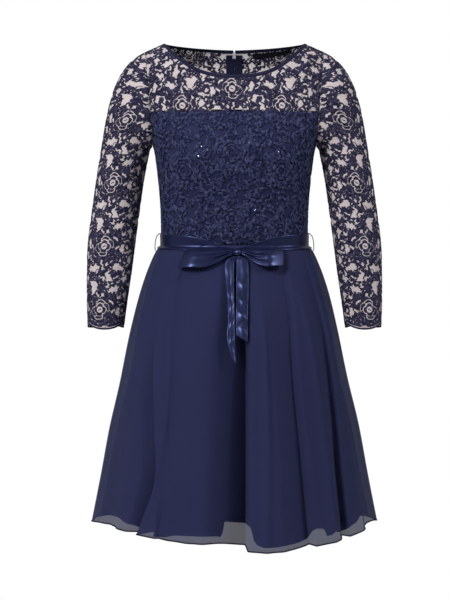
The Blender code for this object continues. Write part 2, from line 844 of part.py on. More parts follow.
def build_bodice_back(hand):
    """One back panel; it is worked on the wearer's left, and hand -1 mirrors it."""
    name = "left" if hand > 0 else "right"

    def place(out):
        def at(u, v):
            point = body_out(BACK, u, v, out) if out else body_point(BACK, u, v)
            return Vector((point.x * hand, point.y, point.z))
        return at

    seam = ZIP_HALF_GAP + TAPE_WIDTH
    half = LINING_COLUMNS // 2 - 1
    lining = [even_row(seam, lining_u(BACK, v), v, half) for v in LINING_ROWS]
    tape_heights = LINING_ROWS + TAPE_TOP_ROWS[:-1]
    tape = [[(ZIP_HALF_GAP, v), (seam, v)] for v in tape_heights]
    lining_cut = [[(u + SEAM_GAP / 2 if i == 0 else u, v) for i, (u, v) in enumerate(row)]
                  for row in lining]
    grid_cloth("bodice_lining_back_" + name, lining_cut, place(0), LINING_WALL, "lining", hand > 0)

    neck = [p for p in neck_flat(BACK, NECK_BAND + 2 * SEAM_GAP) if p.x > 1]
    neck_centre = flat_v(0, neckline_z(BACK, 0)) - NECK_BAND - 2 * SEAM_GAP
    centre = [Vector((ZIP_NOTCH, ZIP_NOTCH_Z)), Vector((ZIP_NOTCH, neck_centre))]
    waist = [Vector(p) for p in reversed(lining[0][:-1])]
    zip_edge = [Vector((ZIP_HALF_GAP, v)) for v in tape_heights]
    outline = [tuple(p) for p in centre + neck + right_edge_flat(BACK) + waist + zip_edge]
    label = label_rows()
    gaps = lace_gap_loops(BODY_ROSE, (0, LINING_TOP), (200, 40))
    blocked = [
        [lining[-1][0], lining[-1][-1], lining[0][-1], lining[0][0]],
        [(0, WAIST_Z), (seam, WAIST_Z), (seam, 60), (0, 60)],
    ]
    if hand > 0:
        blocked.append(label[0] + label[-1][::-1])
    gaps = gaps_that_fit(gaps, outline, blocked)
    spare = spare_flat((30, -110), (180, 40), YOKE_POINT_PITCH)
    grids = [lining, tape] + ([label] if hand > 0 else [])
    flat, faces = cut_flat(outline, gaps, grids, spare, 10)
    points = [place(LACE_STANDOFF)(p.x, p.y) for p in flat]
    cloth("lace_back_" + name, points, faces, LACE_WALL, "lace", hand > 0)
    if hand > 0:
        inside = LACE_STANDOFF - SEAM_GAP - LABEL_WALL
        grid_cloth("neck_label", label, place(inside), LABEL_WALL, "label", True)


def label_rows():
    """Flat grid of the label, below the back neckline."""
    rows = []
    for drop in reversed(LABEL_DROP):
        row = []
        for x in LABEL_X:
            v = flat_v(x, neckline_z(BACK, x)) - drop
            row.append((flat_u(BACK, x, v), v))
        rows.append(row)
    return rows


# ---- neck binding ----

def build_neck_binding():
    """Band round the neckline, open at the centre back where the zip ends."""
    def band_row(side, inset):
        if inset == 0:
            ends = [Vector((flat_u(side, x, 0), ridge_v(x))) for x in (-NECK_HALF, NECK_HALF)]
            middle = []
            for station in range(1, NECK_STATIONS):
                x = NECK_HALF * math.sin(math.pi * (station / NECK_STATIONS - 0.5))
                middle.append(Vector((flat_u(side, x, 0), flat_v(x, neckline_z(side, x)))))
            return [ends[0]] + middle + [ends[1]]
        return neck_flat(side, inset)

    out = LACE_STANDOFF - 0.3
    rows = []
    for inset in (0, NECK_BAND / 2, NECK_BAND):
        front = [body_out(FRONT, p.x, p.y, out) for p in band_row(FRONT, inset)]
        back_half = [p for p in band_row(BACK, inset) if p.x > 1]
        start_v = flat_v(0, neckline_z(BACK, 0)) - inset
        back = [body_out(BACK, p.x, p.y, out)
                for p in [Vector((ZIP_NOTCH, start_v))] + back_half[:-1]]
        mirrored = [Vector((-p.x, p.y, p.z)) for p in back]
        rows.append(mirrored + front + back[::-1])
    points = [p for row in rows for p in row]
    cloth("neck_binding", points, cell_triangles(len(rows), len(rows[0])), NECK_BAND_WALL,
          "binding", True)


# ---- sleeves ----

def cuff_v(u):
    """Scalloped lower edge of the sleeve."""
    period = 2 * math.pi * sleeve_radius(CUFF_Z) / SCALLOPS
    return CUFF_Z - SCALLOP_DEPTH * abs(math.cos(math.pi * u / period)) ** 0.8


def build_sleeve(hand, half):
    """Half a sleeve, split at the underarm and along its outside."""
    low_turn, high_turn = (0, 180) if half == FRONT else (-180, 0)
    step = 180 / ARMHOLE_STATIONS
    turns = [high_turn - step * i for i in range(ARMHOLE_STATIONS + 1)]

    def seam_u(turn, v):
        u = sleeve_u(turn, v)
        if turn == high_turn:
            return u + SEAM_GAP / 2
        return u - SEAM_GAP / 2 if turn == low_turn else u

    def cuff_place(turn):
        v = cuff_v(sleeve_u(turn, CUFF_Z))
        return (seam_u(turn, v), v)

    def seam_places(turn):
        return [(seam_u(turn, v), v) for v in SLEEVE_ROWS[::-1] + (CAP_START,)]

    def cap_place(turn, share):
        inner = min(max(turn, low_turn + 1e-6), high_turn - 1e-6)
        return (seam_u(turn, CAP_START), CAP_START + share * cap_length(inner))

    def cap_side(turn):
        return [cap_place(turn, share) for share in CAP_ROWS] if turn == 0 else []

    cuff = [cuff_place(turn) for turn in turns]
    right = seam_places(low_turn) + cap_side(low_turn)
    left = seam_places(high_turn) + cap_side(high_turn)
    outline = cuff + right + [cap_place(turn, 1) for turn in reversed(turns)] + left[::-1]

    low = (min(p[0] for p in outline), CUFF_Z)
    high = (max(p[0] for p in outline), 60)
    gaps = gaps_that_fit(lace_gap_loops(SLEEVE_ROSE, low, high), outline, [])
    spare = []
    for i, turn in enumerate(turns[1:-1]):
        spare += [(sleeve_u(turn, v), v) for j, v in enumerate(SLEEVE_ROWS + (CAP_START,))
                  if (i + j) % 2 == 0]
        spare += [cap_place(turn, share) for share in CAP_ROWS]
    flat, faces = cut_flat(outline, gaps, [], spare, 9)
    points = []
    for p in flat:
        point = sleeve_point(half, p.x, p.y)
        points.append(Vector((point.x * hand, point.y, point.z)))
    name = "sleeve_{}_{}".format("front" if half == FRONT else "back", "left" if hand > 0 else "right")
    cloth(name, points, faces, LACE_WALL, "lace", hand < 0)


# ---- skirt ----

def hung_z(angle, z, lift):
    """Height of a row where the hem is lifted; the lift grows from the waist down."""
    return z + lift * (WAIST_Z - z) / (WAIST_Z - SKIRT[0].z)


def chiffon_lift(angle):
    return smooth_value(HEM, angle_between(angle, 0), "lift")


def lining_lift(angle):
    away = angle_between(angle, RECESS_ANGLE) / RECESS_WIDTH
    return chiffon_lift(angle) + RECESS_LIFT * math.exp(-away * away)


def skirt_cloth(name, start, end, columns, heights, radius_at, lift_at, finish):
    """Panel between two angles; its ends are set back from the seams."""
    rows = []
    for z in heights:
        row = []
        for column in range(columns + 1):
            angle = start + (end - start) * column / columns
            point = round_point(angle, radius_at(angle, z), hung_z(angle, z, lift_at(angle)))
            for seam, edge in ((start, column == 0), (end, column == columns)):
                if edge:
                    inward = 1 if seam == start else -1
                    turn = math.radians(seam)
                    along = Vector((math.cos(turn), math.sin(turn), 0))
                    point += along * inward * SEAM_GAP / 2
            row.append(point)
        rows.append(row)
    points = [p for row in rows[::-1] for p in row]
    cloth(name, points, cell_triangles(len(heights), columns + 1), SKIRT_WALL, finish)


def chiffon_radius(angle, z):
    return skirt_radius(angle, z) - fold_depth(angle, z)


def skirt_lining_radius(angle, z):
    inset = smooth_value(LINING_INSET, z, "inset")
    return skirt_radius(angle, z) - inset - LINING_FOLD_SHARE * fold_depth(angle, z)


def build_skirt():
    half = SKIRT_COLUMNS // 2
    for name, start, end, columns in (
        ("skirt_front", -90, 90, SKIRT_COLUMNS),
        ("skirt_back_left", 90, 180, half),
        ("skirt_back_right", 180, 270, half),
    ):
        skirt_cloth(name, start, end, columns, SKIRT_ROWS, chiffon_radius, chiffon_lift, "chiffon")
    for name, start in (("front", -90), ("back", 90)):
        skirt_cloth("skirt_lining_" + name, start, start + 180, LINING_SKIRT_COLUMNS,
                    LINING_SKIRT_ROWS, skirt_lining_radius, lining_lift, "lining")


# ---- zip ----

def build_zip_tape(hand):
    name = "left" if hand > 0 else "right"
    seam = ZIP_HALF_GAP + TAPE_WIDTH - SEAM_GAP / 2
    rows = []
    for place in TAPE_INSET:
        depth = chiffon_radius(180, place.z) - place.inset
        z = hung_z(180, place.z, chiffon_lift(180))
        rows.append([Vector((ZIP_HALF_GAP, depth, z)), Vector((seam, depth, z))])
    for v in LINING_ROWS[1:] + TAPE_TOP_ROWS:
        edge = ZIP_NOTCH if v >= ZIP_NOTCH_Z else ZIP_HALF_GAP
        rows.append([body_point(BACK, edge, v), body_point(BACK, seam, v)])
    points = [Vector((p.x * hand, p.y, p.z)) for row in rows for p in row]
    cloth("zip_tape_" + name, points, cell_triangles(len(rows), 2), TAPE_WALL, "tape", hand > 0)


# ---- ribbon belt ----

def belt_surface(angle, z, out):
    return round_point(angle, skirt_radius(angle, z) + out, z)


def build_belt():
    rows = []
    for share in (-1, 0, 1):
        row = []
        for column in range(BELT_COLUMNS):
            angle = 360 * column / BELT_COLUMNS - 180
            centre = smooth_value(BELT, abs(angle), "centre")
            z = centre + share * smooth_value(BELT, abs(angle), "half_width")
            row.append(belt_surface(angle, z, smooth_value(BELT_OUT, z, "out")))
        rows.append(row)
    points = [p for row in rows for p in row]
    triangles = []
    for row in range(2):
        for column in range(BELT_COLUMNS):
            a = row * BELT_COLUMNS + column
            b = row * BELT_COLUMNS + (column + 1) % BELT_COLUMNS
            triangles += [(a, b, b + BELT_COLUMNS), (a, b + BELT_COLUMNS, a + BELT_COLUMNS)]
    cloth("belt_ribbon", points, triangles, RIBBON_WALL, "satin")


# ---- bow ----

def front_point(x, z, out):
    """Point at a width and height in front of the skirt, moved out from it."""
    angle = 0
    for _ in range(8):
        angle = math.degrees(math.asin(x / (skirt_radius(angle, z) + out)))
    return belt_surface(angle, z, out)


def build_knot():
    """Round knot that rests on the belt's outer face."""
    face = [front_point(KNOT_X, KNOT_SEAT_Z + up, BELT_OUT[0].out + 1.5 * RIBBON_WALL)
            for up in (-7, 0, 7)]
    slope = math.atan2(face[2].y - face[0].y, face[2].z - face[0].z)
    outward = Vector((0, -math.cos(slope), math.sin(slope)))
    stack = max((point - face[1]).dot(outward) for point in face)
    centre = face[1] + outward * (stack + KNOT_ROOM + KNOT_HALF[1])
    bpy.ops.mesh.primitive_uv_sphere_add(segments=14, ring_count=8, radius=1,
                                         rotation=(math.pi / 2, 0, 0))
    knot = bpy.context.object
    knot.name = knot.data.name = "bow_knot"
    bpy.ops.object.transform_apply(rotation=True)
    knot.scale = [size * MM for size in KNOT_HALF]
    bpy.ops.object.transform_apply(scale=True)
    knot.rotation_euler.x = -slope
    knot.location = centre * MM
    knot.data.shade_smooth()
    finish_object(knot, "satin")


def build_bow_loop(name, hand):
    """Ribbon out from the knot, round its tip and back in front."""
    count = (len(LOOP) - 1) * LOOP_SMOOTHING + 1
    rows = []
    for share in (-1, 0, 1):
        row = []
        for step in range(count):
            place = step / LOOP_SMOOTHING
            reach = smooth_value(LOOP, place, "reach")
            out = smooth_value(LOOP, place, "out")
            drop = smooth_value(LOOP, place, "drop")
            half = LOOP_PINCH + (LOOP_HALF_WIDTH - LOOP_PINCH) * ease(reach / 0.55)
            z = KNOT_Z - LOOP_TIP_DROP[name] * reach - drop + share * half
            slant = -share * LOOP_TIP_SLANT[name] * half * reach
            start = LOOP_START[name]
            x = KNOT_X + hand * (start + (LOOP_REACH[name] - start) * reach + slant)
            row.append(front_point(x, z, out))
        rows.append(row)
    points = [p for row in rows for p in row]
    cloth("bow_loop_" + name, points, cell_triangles(3, count), RIBBON_WALL, "satin", hand < 0)


def build_bow_tail(name):
    rows = []
    for index, row in enumerate(TAILS[name]):
        end = index == len(TAILS[name]) - 1
        slant = LEFT_TAIL_SLANT if end and name == "left" else 0
        middle = (row.low + row.high) / 2
        rows.append([
            front_point(row.low, row.z + slant, row.out),
            front_point(middle, row.z, row.out + 1.0),
            front_point(row.high, row.z - slant, row.out),
        ])
    points = [p for row in rows[::-1] for p in row]
    cloth("bow_tail_" + name, points, cell_triangles(len(rows), 3), RIBBON_WALL, "satin")


def build_thread_loop(hand):
    name = "belt_loop_left" if hand > 0 else "belt_loop_right"
    curve = bpy.data.curves.new(name, "CURVE")
    curve.dimensions = "3D"
    curve.bevel_depth = THREAD_RADIUS * MM
    curve.bevel_resolution = 1
    curve.use_fill_caps = True
    spline = curve.splines.new("POLY")
    spline.points.add(len(THREAD_LOOP) - 1)
    for point, place in zip(spline.points, THREAD_LOOP):
        point.co = (hand * place.x * MM, 0, place.z * MM, 1)
    finish_object(bpy.data.objects.new(name, curve), "binding")


# ---- zip slider ----

def back_frame():
    """Turns the slider's own axes (across, outwards, down) into the dress's."""
    place = body_point(BACK, 0, SLIDER_V)
    outward = body_normal(BACK, 0, SLIDER_V)
    across = Vector((1, 0, 0))
    down = across.cross(outward)
    if down.z > 0:
        down.negate()
    turn = Matrix((across, outward, down)).transposed()
    return place, turn


def solid_block(name, centre, size):
    bpy.ops.mesh.primitive_cube_add(size=1)
    block = bpy.context.object
    block.name = name
    block.scale = [side * MM for side in size]
    block.location = Vector(centre) * MM
    bpy.ops.object.transform_apply(location=True, scale=True)
    return block


def unite(obj, other, cutters):
    """Join another solid to an object and keep it as a hidden cutter."""
    joint = obj.modifiers.new(other.name, "BOOLEAN")
    joint.operation = "UNION"
    joint.object = other
    other.hide_render = True
    other.display_type = "WIRE"
    for collection in list(other.users_collection):
        collection.objects.unlink(other)
    cutters.objects.link(other)


def build_slider(cutters):
    place, turn = back_frame()
    pieces = [solid_block("slider_block_{}".format(i), centre, size)
              for i, (centre, size) in enumerate(SLIDER_BLOCKS)]
    bpy.ops.mesh.primitive_cylinder_add(
        vertices=16, radius=PIVOT_RADIUS * MM, depth=5.6 * MM,
        location=(0, SLIDER_PIVOT_OUT * MM, 0), rotation=(0, math.pi / 2, 0))
    pivot = bpy.context.object
    pivot.name = "slider_pivot"
    bpy.ops.object.transform_apply(location=True, rotation=True)
    pieces.append(pivot)
    for piece in pieces:
        piece.data.transform(Matrix.Translation(place * MM) @ turn.to_4x4())
        if turn.determinant() < 0:
            piece.data.flip_normals()
    slider = pieces[0]
    slider.name = slider.data.name = "zip_slider"
    for piece in pieces[1:]:
        unite(slider, piece, cutters)
    finish_object(slider, "zip_metal")


def build_pull_tab():
    """Eye round the slider's pivot with a flat tab below it, drawn from the side."""
    place, turn = back_frame()
    axis = place + turn @ Vector((0, SLIDER_PIVOT_OUT, 0))
    half = TAB_WALL / 2
    start = math.asin(half / EYE_OUTER)
    outline = [(EYE_OUTER * math.sin(start + (2 * math.pi - 2 * start) * i / 16),
                -EYE_OUTER * math.cos(start + (2 * math.pi - 2 * start) * i / 16))
               for i in range(17)]
    outline += [(-half, -TAB_LENGTH), (half, -TAB_LENGTH)]
    eye = [(EYE_INNER * math.sin(2 * math.pi * i / 16), EYE_INNER * math.cos(2 * math.pi * i / 16))
           for i in range(16)]
    curve = bpy.data.curves.new("zip_pull", "CURVE")
    curve.dimensions = "2D"
    curve.fill_mode = "BOTH"
    curve.extrude = TAB_WIDTH / 2 * MM
    for loop in (outline, eye):
        spline = curve.splines.new("POLY")
        spline.points.add(len(loop) - 1)
        spline.use_cyclic_u = True
        for point, (across, up) in zip(spline.points, loop):
            point.co = (across * MM, up * MM, 0, 1)
    tab = finish_object(bpy.data.objects.new("zip_pull", curve), "zip_metal")
    upright = Matrix(((0, 0, 1), (1, 0, 0), (0, 1, 0)))
    lean = Matrix.Rotation(math.radians(TAB_LEAN), 3, "X")
    tab.matrix_world = Matrix.Translation(axis * MM) @ (lean @ upright).to_4x4()


cutter_collection = bpy.data.collections.new("cutters")
bpy.context.scene.collection.children.link(cutter_collection)
build_bodice_front()
build_neck_binding()
for side_hand in (1, -1):
    build_bodice_back(side_hand)
    for side_half in (FRONT, BACK):
        build_sleeve(side_hand, side_half)
    build_zip_tape(side_hand)
    build_thread_loop(side_hand)
build_skirt()
build_belt()
build_knot()
build_bow_loop("left", 1)
build_bow_loop("right", -1)
build_bow_tail("left")
build_bow_tail("right")
build_slider(cutter_collection)
build_pull_tab()
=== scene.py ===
import math
import bpy
import numpy as np
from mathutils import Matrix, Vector


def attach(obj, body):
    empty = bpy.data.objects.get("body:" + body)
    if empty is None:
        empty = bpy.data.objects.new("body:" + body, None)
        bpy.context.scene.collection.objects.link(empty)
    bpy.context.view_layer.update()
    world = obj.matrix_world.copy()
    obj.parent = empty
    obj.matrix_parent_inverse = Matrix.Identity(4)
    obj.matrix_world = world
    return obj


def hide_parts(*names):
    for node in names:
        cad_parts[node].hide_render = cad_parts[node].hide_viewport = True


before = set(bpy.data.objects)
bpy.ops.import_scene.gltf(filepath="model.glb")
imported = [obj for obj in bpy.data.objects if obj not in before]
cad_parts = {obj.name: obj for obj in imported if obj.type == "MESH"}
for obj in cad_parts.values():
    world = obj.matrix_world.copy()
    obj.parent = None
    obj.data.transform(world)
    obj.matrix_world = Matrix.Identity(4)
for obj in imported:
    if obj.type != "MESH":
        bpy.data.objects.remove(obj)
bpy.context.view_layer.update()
bpy.ops.object.select_all(action="DESELECT")
mm = 0.001
front, back = -1, 1
hands = ((1, "Left"), (-1, "Right"))
halves = ((front, "Front"), (back, "Back"))
panels = (("Front", front, 1), ("BackLeft", back, 1), ("BackRight", back, -1))
seamRoom = 0.15
scene = bpy.context.scene
scene.view_settings.view_transform = "Standard"

# camera at chest height, three metres away
cameraSet = {"place": (-0.018, -3.0, -0.30), "lens": 94.24, "tilt": 1.8, "shiftDown": 0.0795}
cameraData = bpy.data.cameras.new("camera")
cameraData.lens = cameraSet["lens"]
cameraData.shift_y = -cameraSet["shiftDown"]


def newObject(name, data):
    obj = bpy.data.objects.new(name, data)
    scene.collection.objects.link(obj)
    return obj


camera = newObject("camera", cameraData)
camera.location = cameraSet["place"]
camera.rotation_euler = (math.radians(90 - cameraSet["tilt"]), 0, 0)
scene.camera = camera


def onCurve(rows, column, place):
    # a smooth curve through a table's rows, which rise in their first column
    rows = np.asarray(rows, float)
    x, y = rows[:, 0], rows[:, column]
    last = len(x) - 1
    place = np.clip(np.asarray(place, float), x[0], x[-1])
    i = np.clip(np.searchsorted(x, place, side="right") - 1, 0, last - 1)
    after = np.minimum(np.arange(last + 1) + 1, last)
    before = np.maximum(np.arange(last + 1) - 1, 0)
    slope = (y[after] - y[before]) / (x[after] - x[before])
    span = x[i + 1] - x[i]
    t = (place - x[i]) / span
    return (y[i] * (1 + 2 * t) * (1 - t) ** 2 + slope[i] * span * t * (1 - t) ** 2
            + y[i + 1] * t * t * (3 - 2 * t) + slope[i + 1] * span * t * t * (t - 1))


def ease(t):
    t = np.clip(t, 0, 1)
    return t * t * (3 - 2 * t)


def unit(vectors):
    return vectors / np.maximum(np.linalg.norm(vectors, axis=-1, keepdims=True), 1e-9)


def runOf(points):
    # how far along a line each of its points lies
    return np.append(0, np.cumsum(np.linalg.norm(np.diff(points, axis=0), axis=1)))


def readAlong(at, run, values):
    # the values of a line's points, read between them
    return np.stack([np.interp(at, run, values[:, k]) for k in range(values.shape[1])], -1)


# body form in millimetres; z, half width, front depth, back depth
bodySet = {
    "sections": ((-378, 137.0, 88, 82), (-335, 137.5, 95, 85), (-290, 139.5, 104, 90),
                 (-215, 147.5, 121, 102), (-190, 153.0, 120, 104), (-160, 168.0, 116, 104),
                 (-120, 178.0, 106, 102), (-80, 184.0, 94, 98), (-40, 187.0, 84, 91), (10, 188.0, 78, 84)),
    "squareness": 2.35, "arcTop": -100, "seamEnd": -377.2, "underarm": -190,
    # place across, height, spread and fullness
    "bust": (84, -215, 50, 0.07),
    "neckHalf": 132, "shoulderTip": 170, "shoulderFall": 0.435, "neckRise": 0.25, "close": 75,
    # depth and power of the necklines, and how far inside them the lace and the net end
    "frontNeck": (-64, 2.5), "backNeck": (-4, 2.0), "laceNeck": 6.6, "netNeck": 4.0,
    "armhole": ((-190, 153), (-145, 155), (-100, 158), (-59, 162), (26.3, 170)),
    "liningTop": -131.6, "liningInset": 6, "liningWall": 1.0,
    # how far the lace and the net lie out from the lining's inside, their grid steps in the flat, and the
    # share of the lace's triangles that is kept
    "laceOut": 2.7, "netOut": 2.3, "laceStep": 1.25, "netStep": 4.0, "laceKept": 0.225,
    # the zip: how far from the centre back the lining ends, and for the net and the lace beside the slider
    # also how high
    "liningZip": 16.3, "netZip": (1.4, -12), "notch": (1.3, -17),
}
ridgeTurn = math.pi / 2 - 0.002


def ridgeZ(x):
    outside = np.abs(x) - bodySet["neckHalf"]
    return np.where(outside > 0, -bodySet["shoulderFall"] * outside, -bodySet["neckRise"] * outside)


def ridgeV(x):
    return ridgeZ(x) - bodySet["close"] + bodySet["close"] * ridgeTurn


def flatV(x, z):
    close = ridgeZ(x) - bodySet["close"]
    over = np.arcsin(np.clip((z - close) / bodySet["close"], 0, 1))
    return np.where(z <= close, z, close + bodySet["close"] * over)


def quarterArcs(side, level):
    # points of the quarter section at each level, and their lengths from the centre line
    level = np.minimum(np.atleast_1d(np.asarray(level, float)), bodySet["arcTop"])
    width = onCurve(bodySet["sections"], 1, level)[:, None]
    depth = onCurve(bodySet["sections"], 2 if side == front else 3, level)[:, None]
    turn = np.linspace(0, math.pi / 2, 49)[None]
    power = 2 / bodySet["squareness"]
    x = width * np.sin(turn) ** power
    y = depth * np.maximum(np.cos(turn), 0) ** power
    steps = np.hypot(np.diff(x), np.diff(y))
    return x, y, np.concatenate([np.zeros((len(level), 1)), np.cumsum(steps, 1)], 1)


def rowInterp(at, places, values):
    # a straight lookup for each row of places and values
    i = np.clip((places <= at[:, None]).sum(1) - 1, 0, places.shape[1] - 2)
    k = np.arange(len(at))
    share = (at - places[k, i]) / np.maximum(places[k, i + 1] - places[k, i], 1e-9)
    return values[k, i] + (values[k, i + 1] - values[k, i]) * np.clip(share, 0, 1)


def flatU(side, x, v):
    x, v = np.broadcast_arrays(np.asarray(x, float), np.asarray(v, float))
    xs, _, lengths = quarterArcs(side, v.ravel())
    return (np.sign(x.ravel()) * rowInterp(np.abs(x.ravel()), xs, lengths)).reshape(x.shape)


def bodyPoints(side, u, v):
    u, v = [np.asarray(a, float).ravel() for a in np.broadcast_arrays(u, v)]
    xs, depths, lengths = quarterArcs(side, v)
    x = np.sign(u) * rowInterp(np.abs(u), lengths, xs)
    close = ridgeZ(x) - bodySet["close"]
    turn = np.clip((v - close) / bodySet["close"], 0, ridgeTurn)
    z = np.where(v <= close, v, close + bodySet["close"] * np.sin(turn))
    level = np.minimum(z, close)
    square = bodySet["squareness"]
    width = onCurve(bodySet["sections"], 1, level)
    upper = onCurve(bodySet["sections"], 2 if side == front else 3, level)
    upper = upper * np.clip(1 - (np.abs(x) / width) ** square, 0, 1) ** (1 / square)
    depth = np.where(v <= bodySet["arcTop"], rowInterp(np.abs(u), lengths, depths), upper)
    if side == front:
        bustX, bustZ, spread, fullness = bodySet["bust"]
        for middle in (-bustX, bustX):
            away = ((x - middle) ** 2 + (z - bustZ) ** 2) / (2 * spread ** 2)
            depth = depth * (1 + fullness * np.exp(-away))
    return np.stack([x, side * depth * np.cos(turn), z], 1)


def bodyNormals(side, u, v):
    u, v = [np.asarray(a, float).ravel() for a in np.broadcast_arrays(u, v)]
    limit = quarterArcs(side, v)[2][:, -1]
    across = bodyPoints(side, np.minimum(u + 1, limit), v) - bodyPoints(side, np.maximum(u - 1, -limit), v)
    upward = bodyPoints(side, u, v + 1) - bodyPoints(side, u, v - 1)
    return unit(np.cross(across, upward) * -side)


def readLattice(table, row, column):
    row = np.clip(row, 0, table.shape[0] - 1.001)
    column = np.clip(column, 0, table.shape[1] - 1.001)
    r, c = row.astype(int), column.astype(int)
    a, b = (row - r)[..., None], (column - c)[..., None]
    return (table[r, c] * (1 - a) * (1 - b) + table[r + 1, c] * a * (1 - b)
            + table[r, c + 1] * (1 - a) * b + table[r + 1, c + 1] * a * b)


lowV, latticeStep, upperRows, latticeColumns = -382.0, 4.0, 44, 140


def bodyTable(side):
    # points and normals of the body form, to be read between them
    top = bodySet["arcTop"]
    share = np.linspace(-1, 1, latticeColumns + 1)
    rows = np.append(np.arange(lowV, top, latticeStep), top)
    limits = quarterArcs(side, rows)[2][:, -1]
    low = np.stack(np.broadcast_arrays(limits[:, None] * share, rows[:, None]), 2)
    topU = limits[-1] * share
    ridge = ridgeV(bodyPoints(side, topU, top)[:, 0])
    t = np.linspace(0, 1, upperRows + 1)[1:, None]
    high = np.stack(np.broadcast_arrays(topU[None], top + t * (ridge - top)), 2)
    flat = np.concatenate([low, high])
    shape = flat.shape[:2] + (3,)
    # the normals are read a little below the shoulder ridge, where the form turns over
    safeV = np.concatenate([rows[:, None] + 0 * share, high[..., 1] * 0 + ridge - 1.5])
    safeV = np.minimum(flat[..., 1], safeV)
    return {"rows": rows, "limits": limits, "topU": topU, "topRidge": ridge,
            "points": bodyPoints(side, flat[..., 0], flat[..., 1]).reshape(shape),
            "normals": bodyNormals(side, flat[..., 0], safeV).reshape(shape)}


bodyLattice = {side: bodyTable(side) for side in (front, back)}


def placed(made, row, column, out, hand):
    # point and normal read from a form's table, moved out; hand -1 mirrors them to the wearer's right
    normal = unit(readLattice(made["normals"], row, column))
    point = readLattice(made["points"], row, column) + normal * np.asarray(out)[..., None]
    turned = np.array([hand, 1, 1])
    return point * turned, normal * turned


def onBody(side, u, v, out=0.0, hand=1):
    # point and normal of the flat place (u, v)
    made = bodyLattice[side]
    u, v = np.asarray(u, float), np.asarray(v, float)
    limit = np.interp(v, made["rows"], made["limits"])
    column = (np.clip(u / limit, -1, 1) + 1) / 2 * latticeColumns
    low = np.interp(v, made["rows"], np.arange(len(made["rows"])))
    ridge = np.interp(u, made["topU"], made["topRidge"])
    high = np.clip((v - bodySet["arcTop"]) / (ridge - bodySet["arcTop"]), 0, 1) * upperRows
    row = np.where(v <= bodySet["arcTop"], low, len(made["rows"]) - 1 + high)
    return placed(made, row, column, out, hand)


def sideU(side, v):
    # the flat place of the side seam, and above the underarm of the armhole
    v = np.asarray(v, float)
    seam = quarterArcs(side, v.ravel())[2][:, -1].reshape(v.shape) - seamRoom
    return np.where(v <= bodySet["underarm"], seam, flatU(side, onCurve(bodySet["armhole"], 1, v), v))


print("body form ready")

# sleeve form: z, centre x, centre y, half width, half depth of the wearer's left one
sleeveSet = {
    "sections": ((-560, 246.5, -23, 32.5, 34.5), (-534, 244.5, -21, 33.8, 36.0),
                 (-483, 241.8, -17, 37.8, 40.0), (-428, 237.9, -13, 41.7, 44.0),
                 (-373, 233.5, -9, 44.3, 47.5), (-318, 226.4, -5, 44.5, 50.0),
                 (-250, 216.8, -2, 44.6, 53.0), (-200, 207.8, 0, 45.6, 54.0)),
    # how far the cap's lines keep the directions of the tube and of the shoulder
    "capStart": -200, "leaveSleeve": 0.40, "leaveBody": 0.33,
    "cuff": -529, "scallopDepth": 9, "scallops": 3, "laceOut": 0.8, "netOut": 0.35,
    "laceLow": -540.0, "laceStep": 1.1, "laceKept": 0.195,
    # the form's table: lowest ring, step between rings, rows of the cap, steps round a half
    "low": -546, "step": 5, "capRows": 24, "turns": 72,
    # angles round each half of the sleeve
    "halfTurns": {front: (0, 180), back: (-180, 0)},
}
capStart = sleeveSet["capStart"]


def sleeveRadius(z):
    return (onCurve(sleeveSet["sections"], 3, z) + onCurve(sleeveSet["sections"], 4, z)) / 2


def sleeveRing(turn, z):
    turn, z = np.broadcast_arrays(np.radians(turn), np.asarray(z, float))
    rows = sleeveSet["sections"]
    return np.stack([onCurve(rows, 1, z) + onCurve(rows, 3, z) * np.cos(turn),
                     onCurve(rows, 2, z) - onCurve(rows, 4, z) * np.sin(turn), z], -1)


def capCurves(side, turns):
    # each turn's line from the tube up to the armhole seam, evenly spaced
    share = np.abs(turns) / 180
    top = float(ridgeV(bodySet["shoulderTip"]))
    heights = np.linspace(top, bodySet["underarm"], 61)
    line = bodyPoints(side, sideU(side, heights), heights)
    lengths = runOf(line)

    def heightAt(part):
        return np.interp(np.clip(part, 0, 1) * lengths[-1], lengths, heights)

    v = heightAt(share)
    u = sideU(side, v)
    edge, normal = bodyPoints(side, u, v), bodyNormals(side, u, v)
    nearby = [bodyPoints(side, sideU(side, w), w) for w in (heightAt(share + 0.01), heightAt(share - 0.01))]
    offEdge = unit(np.cross(nearby[0] - nearby[1], normal))
    inside = bodyPoints(side, u - 5, v)
    offEdge *= np.where(((edge - inside) * offEdge).sum(1) < 0, -1, 1)[:, None]
    under = ease((np.abs(turns) - 90) / 90)
    leave = unit(np.stack([0.9 - 0.55 * under, -0.45 * np.sin(np.radians(turns)), -0.42 - 0.6 * under], 1))
    lap = np.clip((leave * normal).sum(1) / 0.35, 0, 1)
    raised = 1.8 + 1.7 * lap + 1.2 * ease((share - 0.8) / 0.2)
    seam = edge + normal * raised[:, None] + offEdge * (0.45 * (1 - lap))[:, None]
    start = sleeveRing(turns, capStart)
    upward = unit(start - sleeveRing(turns, capStart - 6))
    span = np.linalg.norm(seam - start, axis=1)[:, None]
    leaving = start + upward * sleeveSet["leaveSleeve"] * span
    arriving = seam + leave * sleeveSet["leaveBody"] * span
    t = np.linspace(0, 1, 61)[:, None, None]
    weights = ((1 - t) ** 3, 3 * t * (1 - t) ** 2, 3 * t * t * (1 - t), t ** 3)
    curve = sum(w * c[None] for w, c in zip(weights, (start, leaving, arriving, seam)))
    cap, lengths = [], []
    for k in range(len(turns)):
        run = runOf(curve[:, k])
        cap.append(readAlong(np.linspace(0, run[-1], sleeveSet["capRows"] + 1), run, curve[:, k]))
        lengths.append(run[-1])
    return np.stack(cap, 1), np.array(lengths)


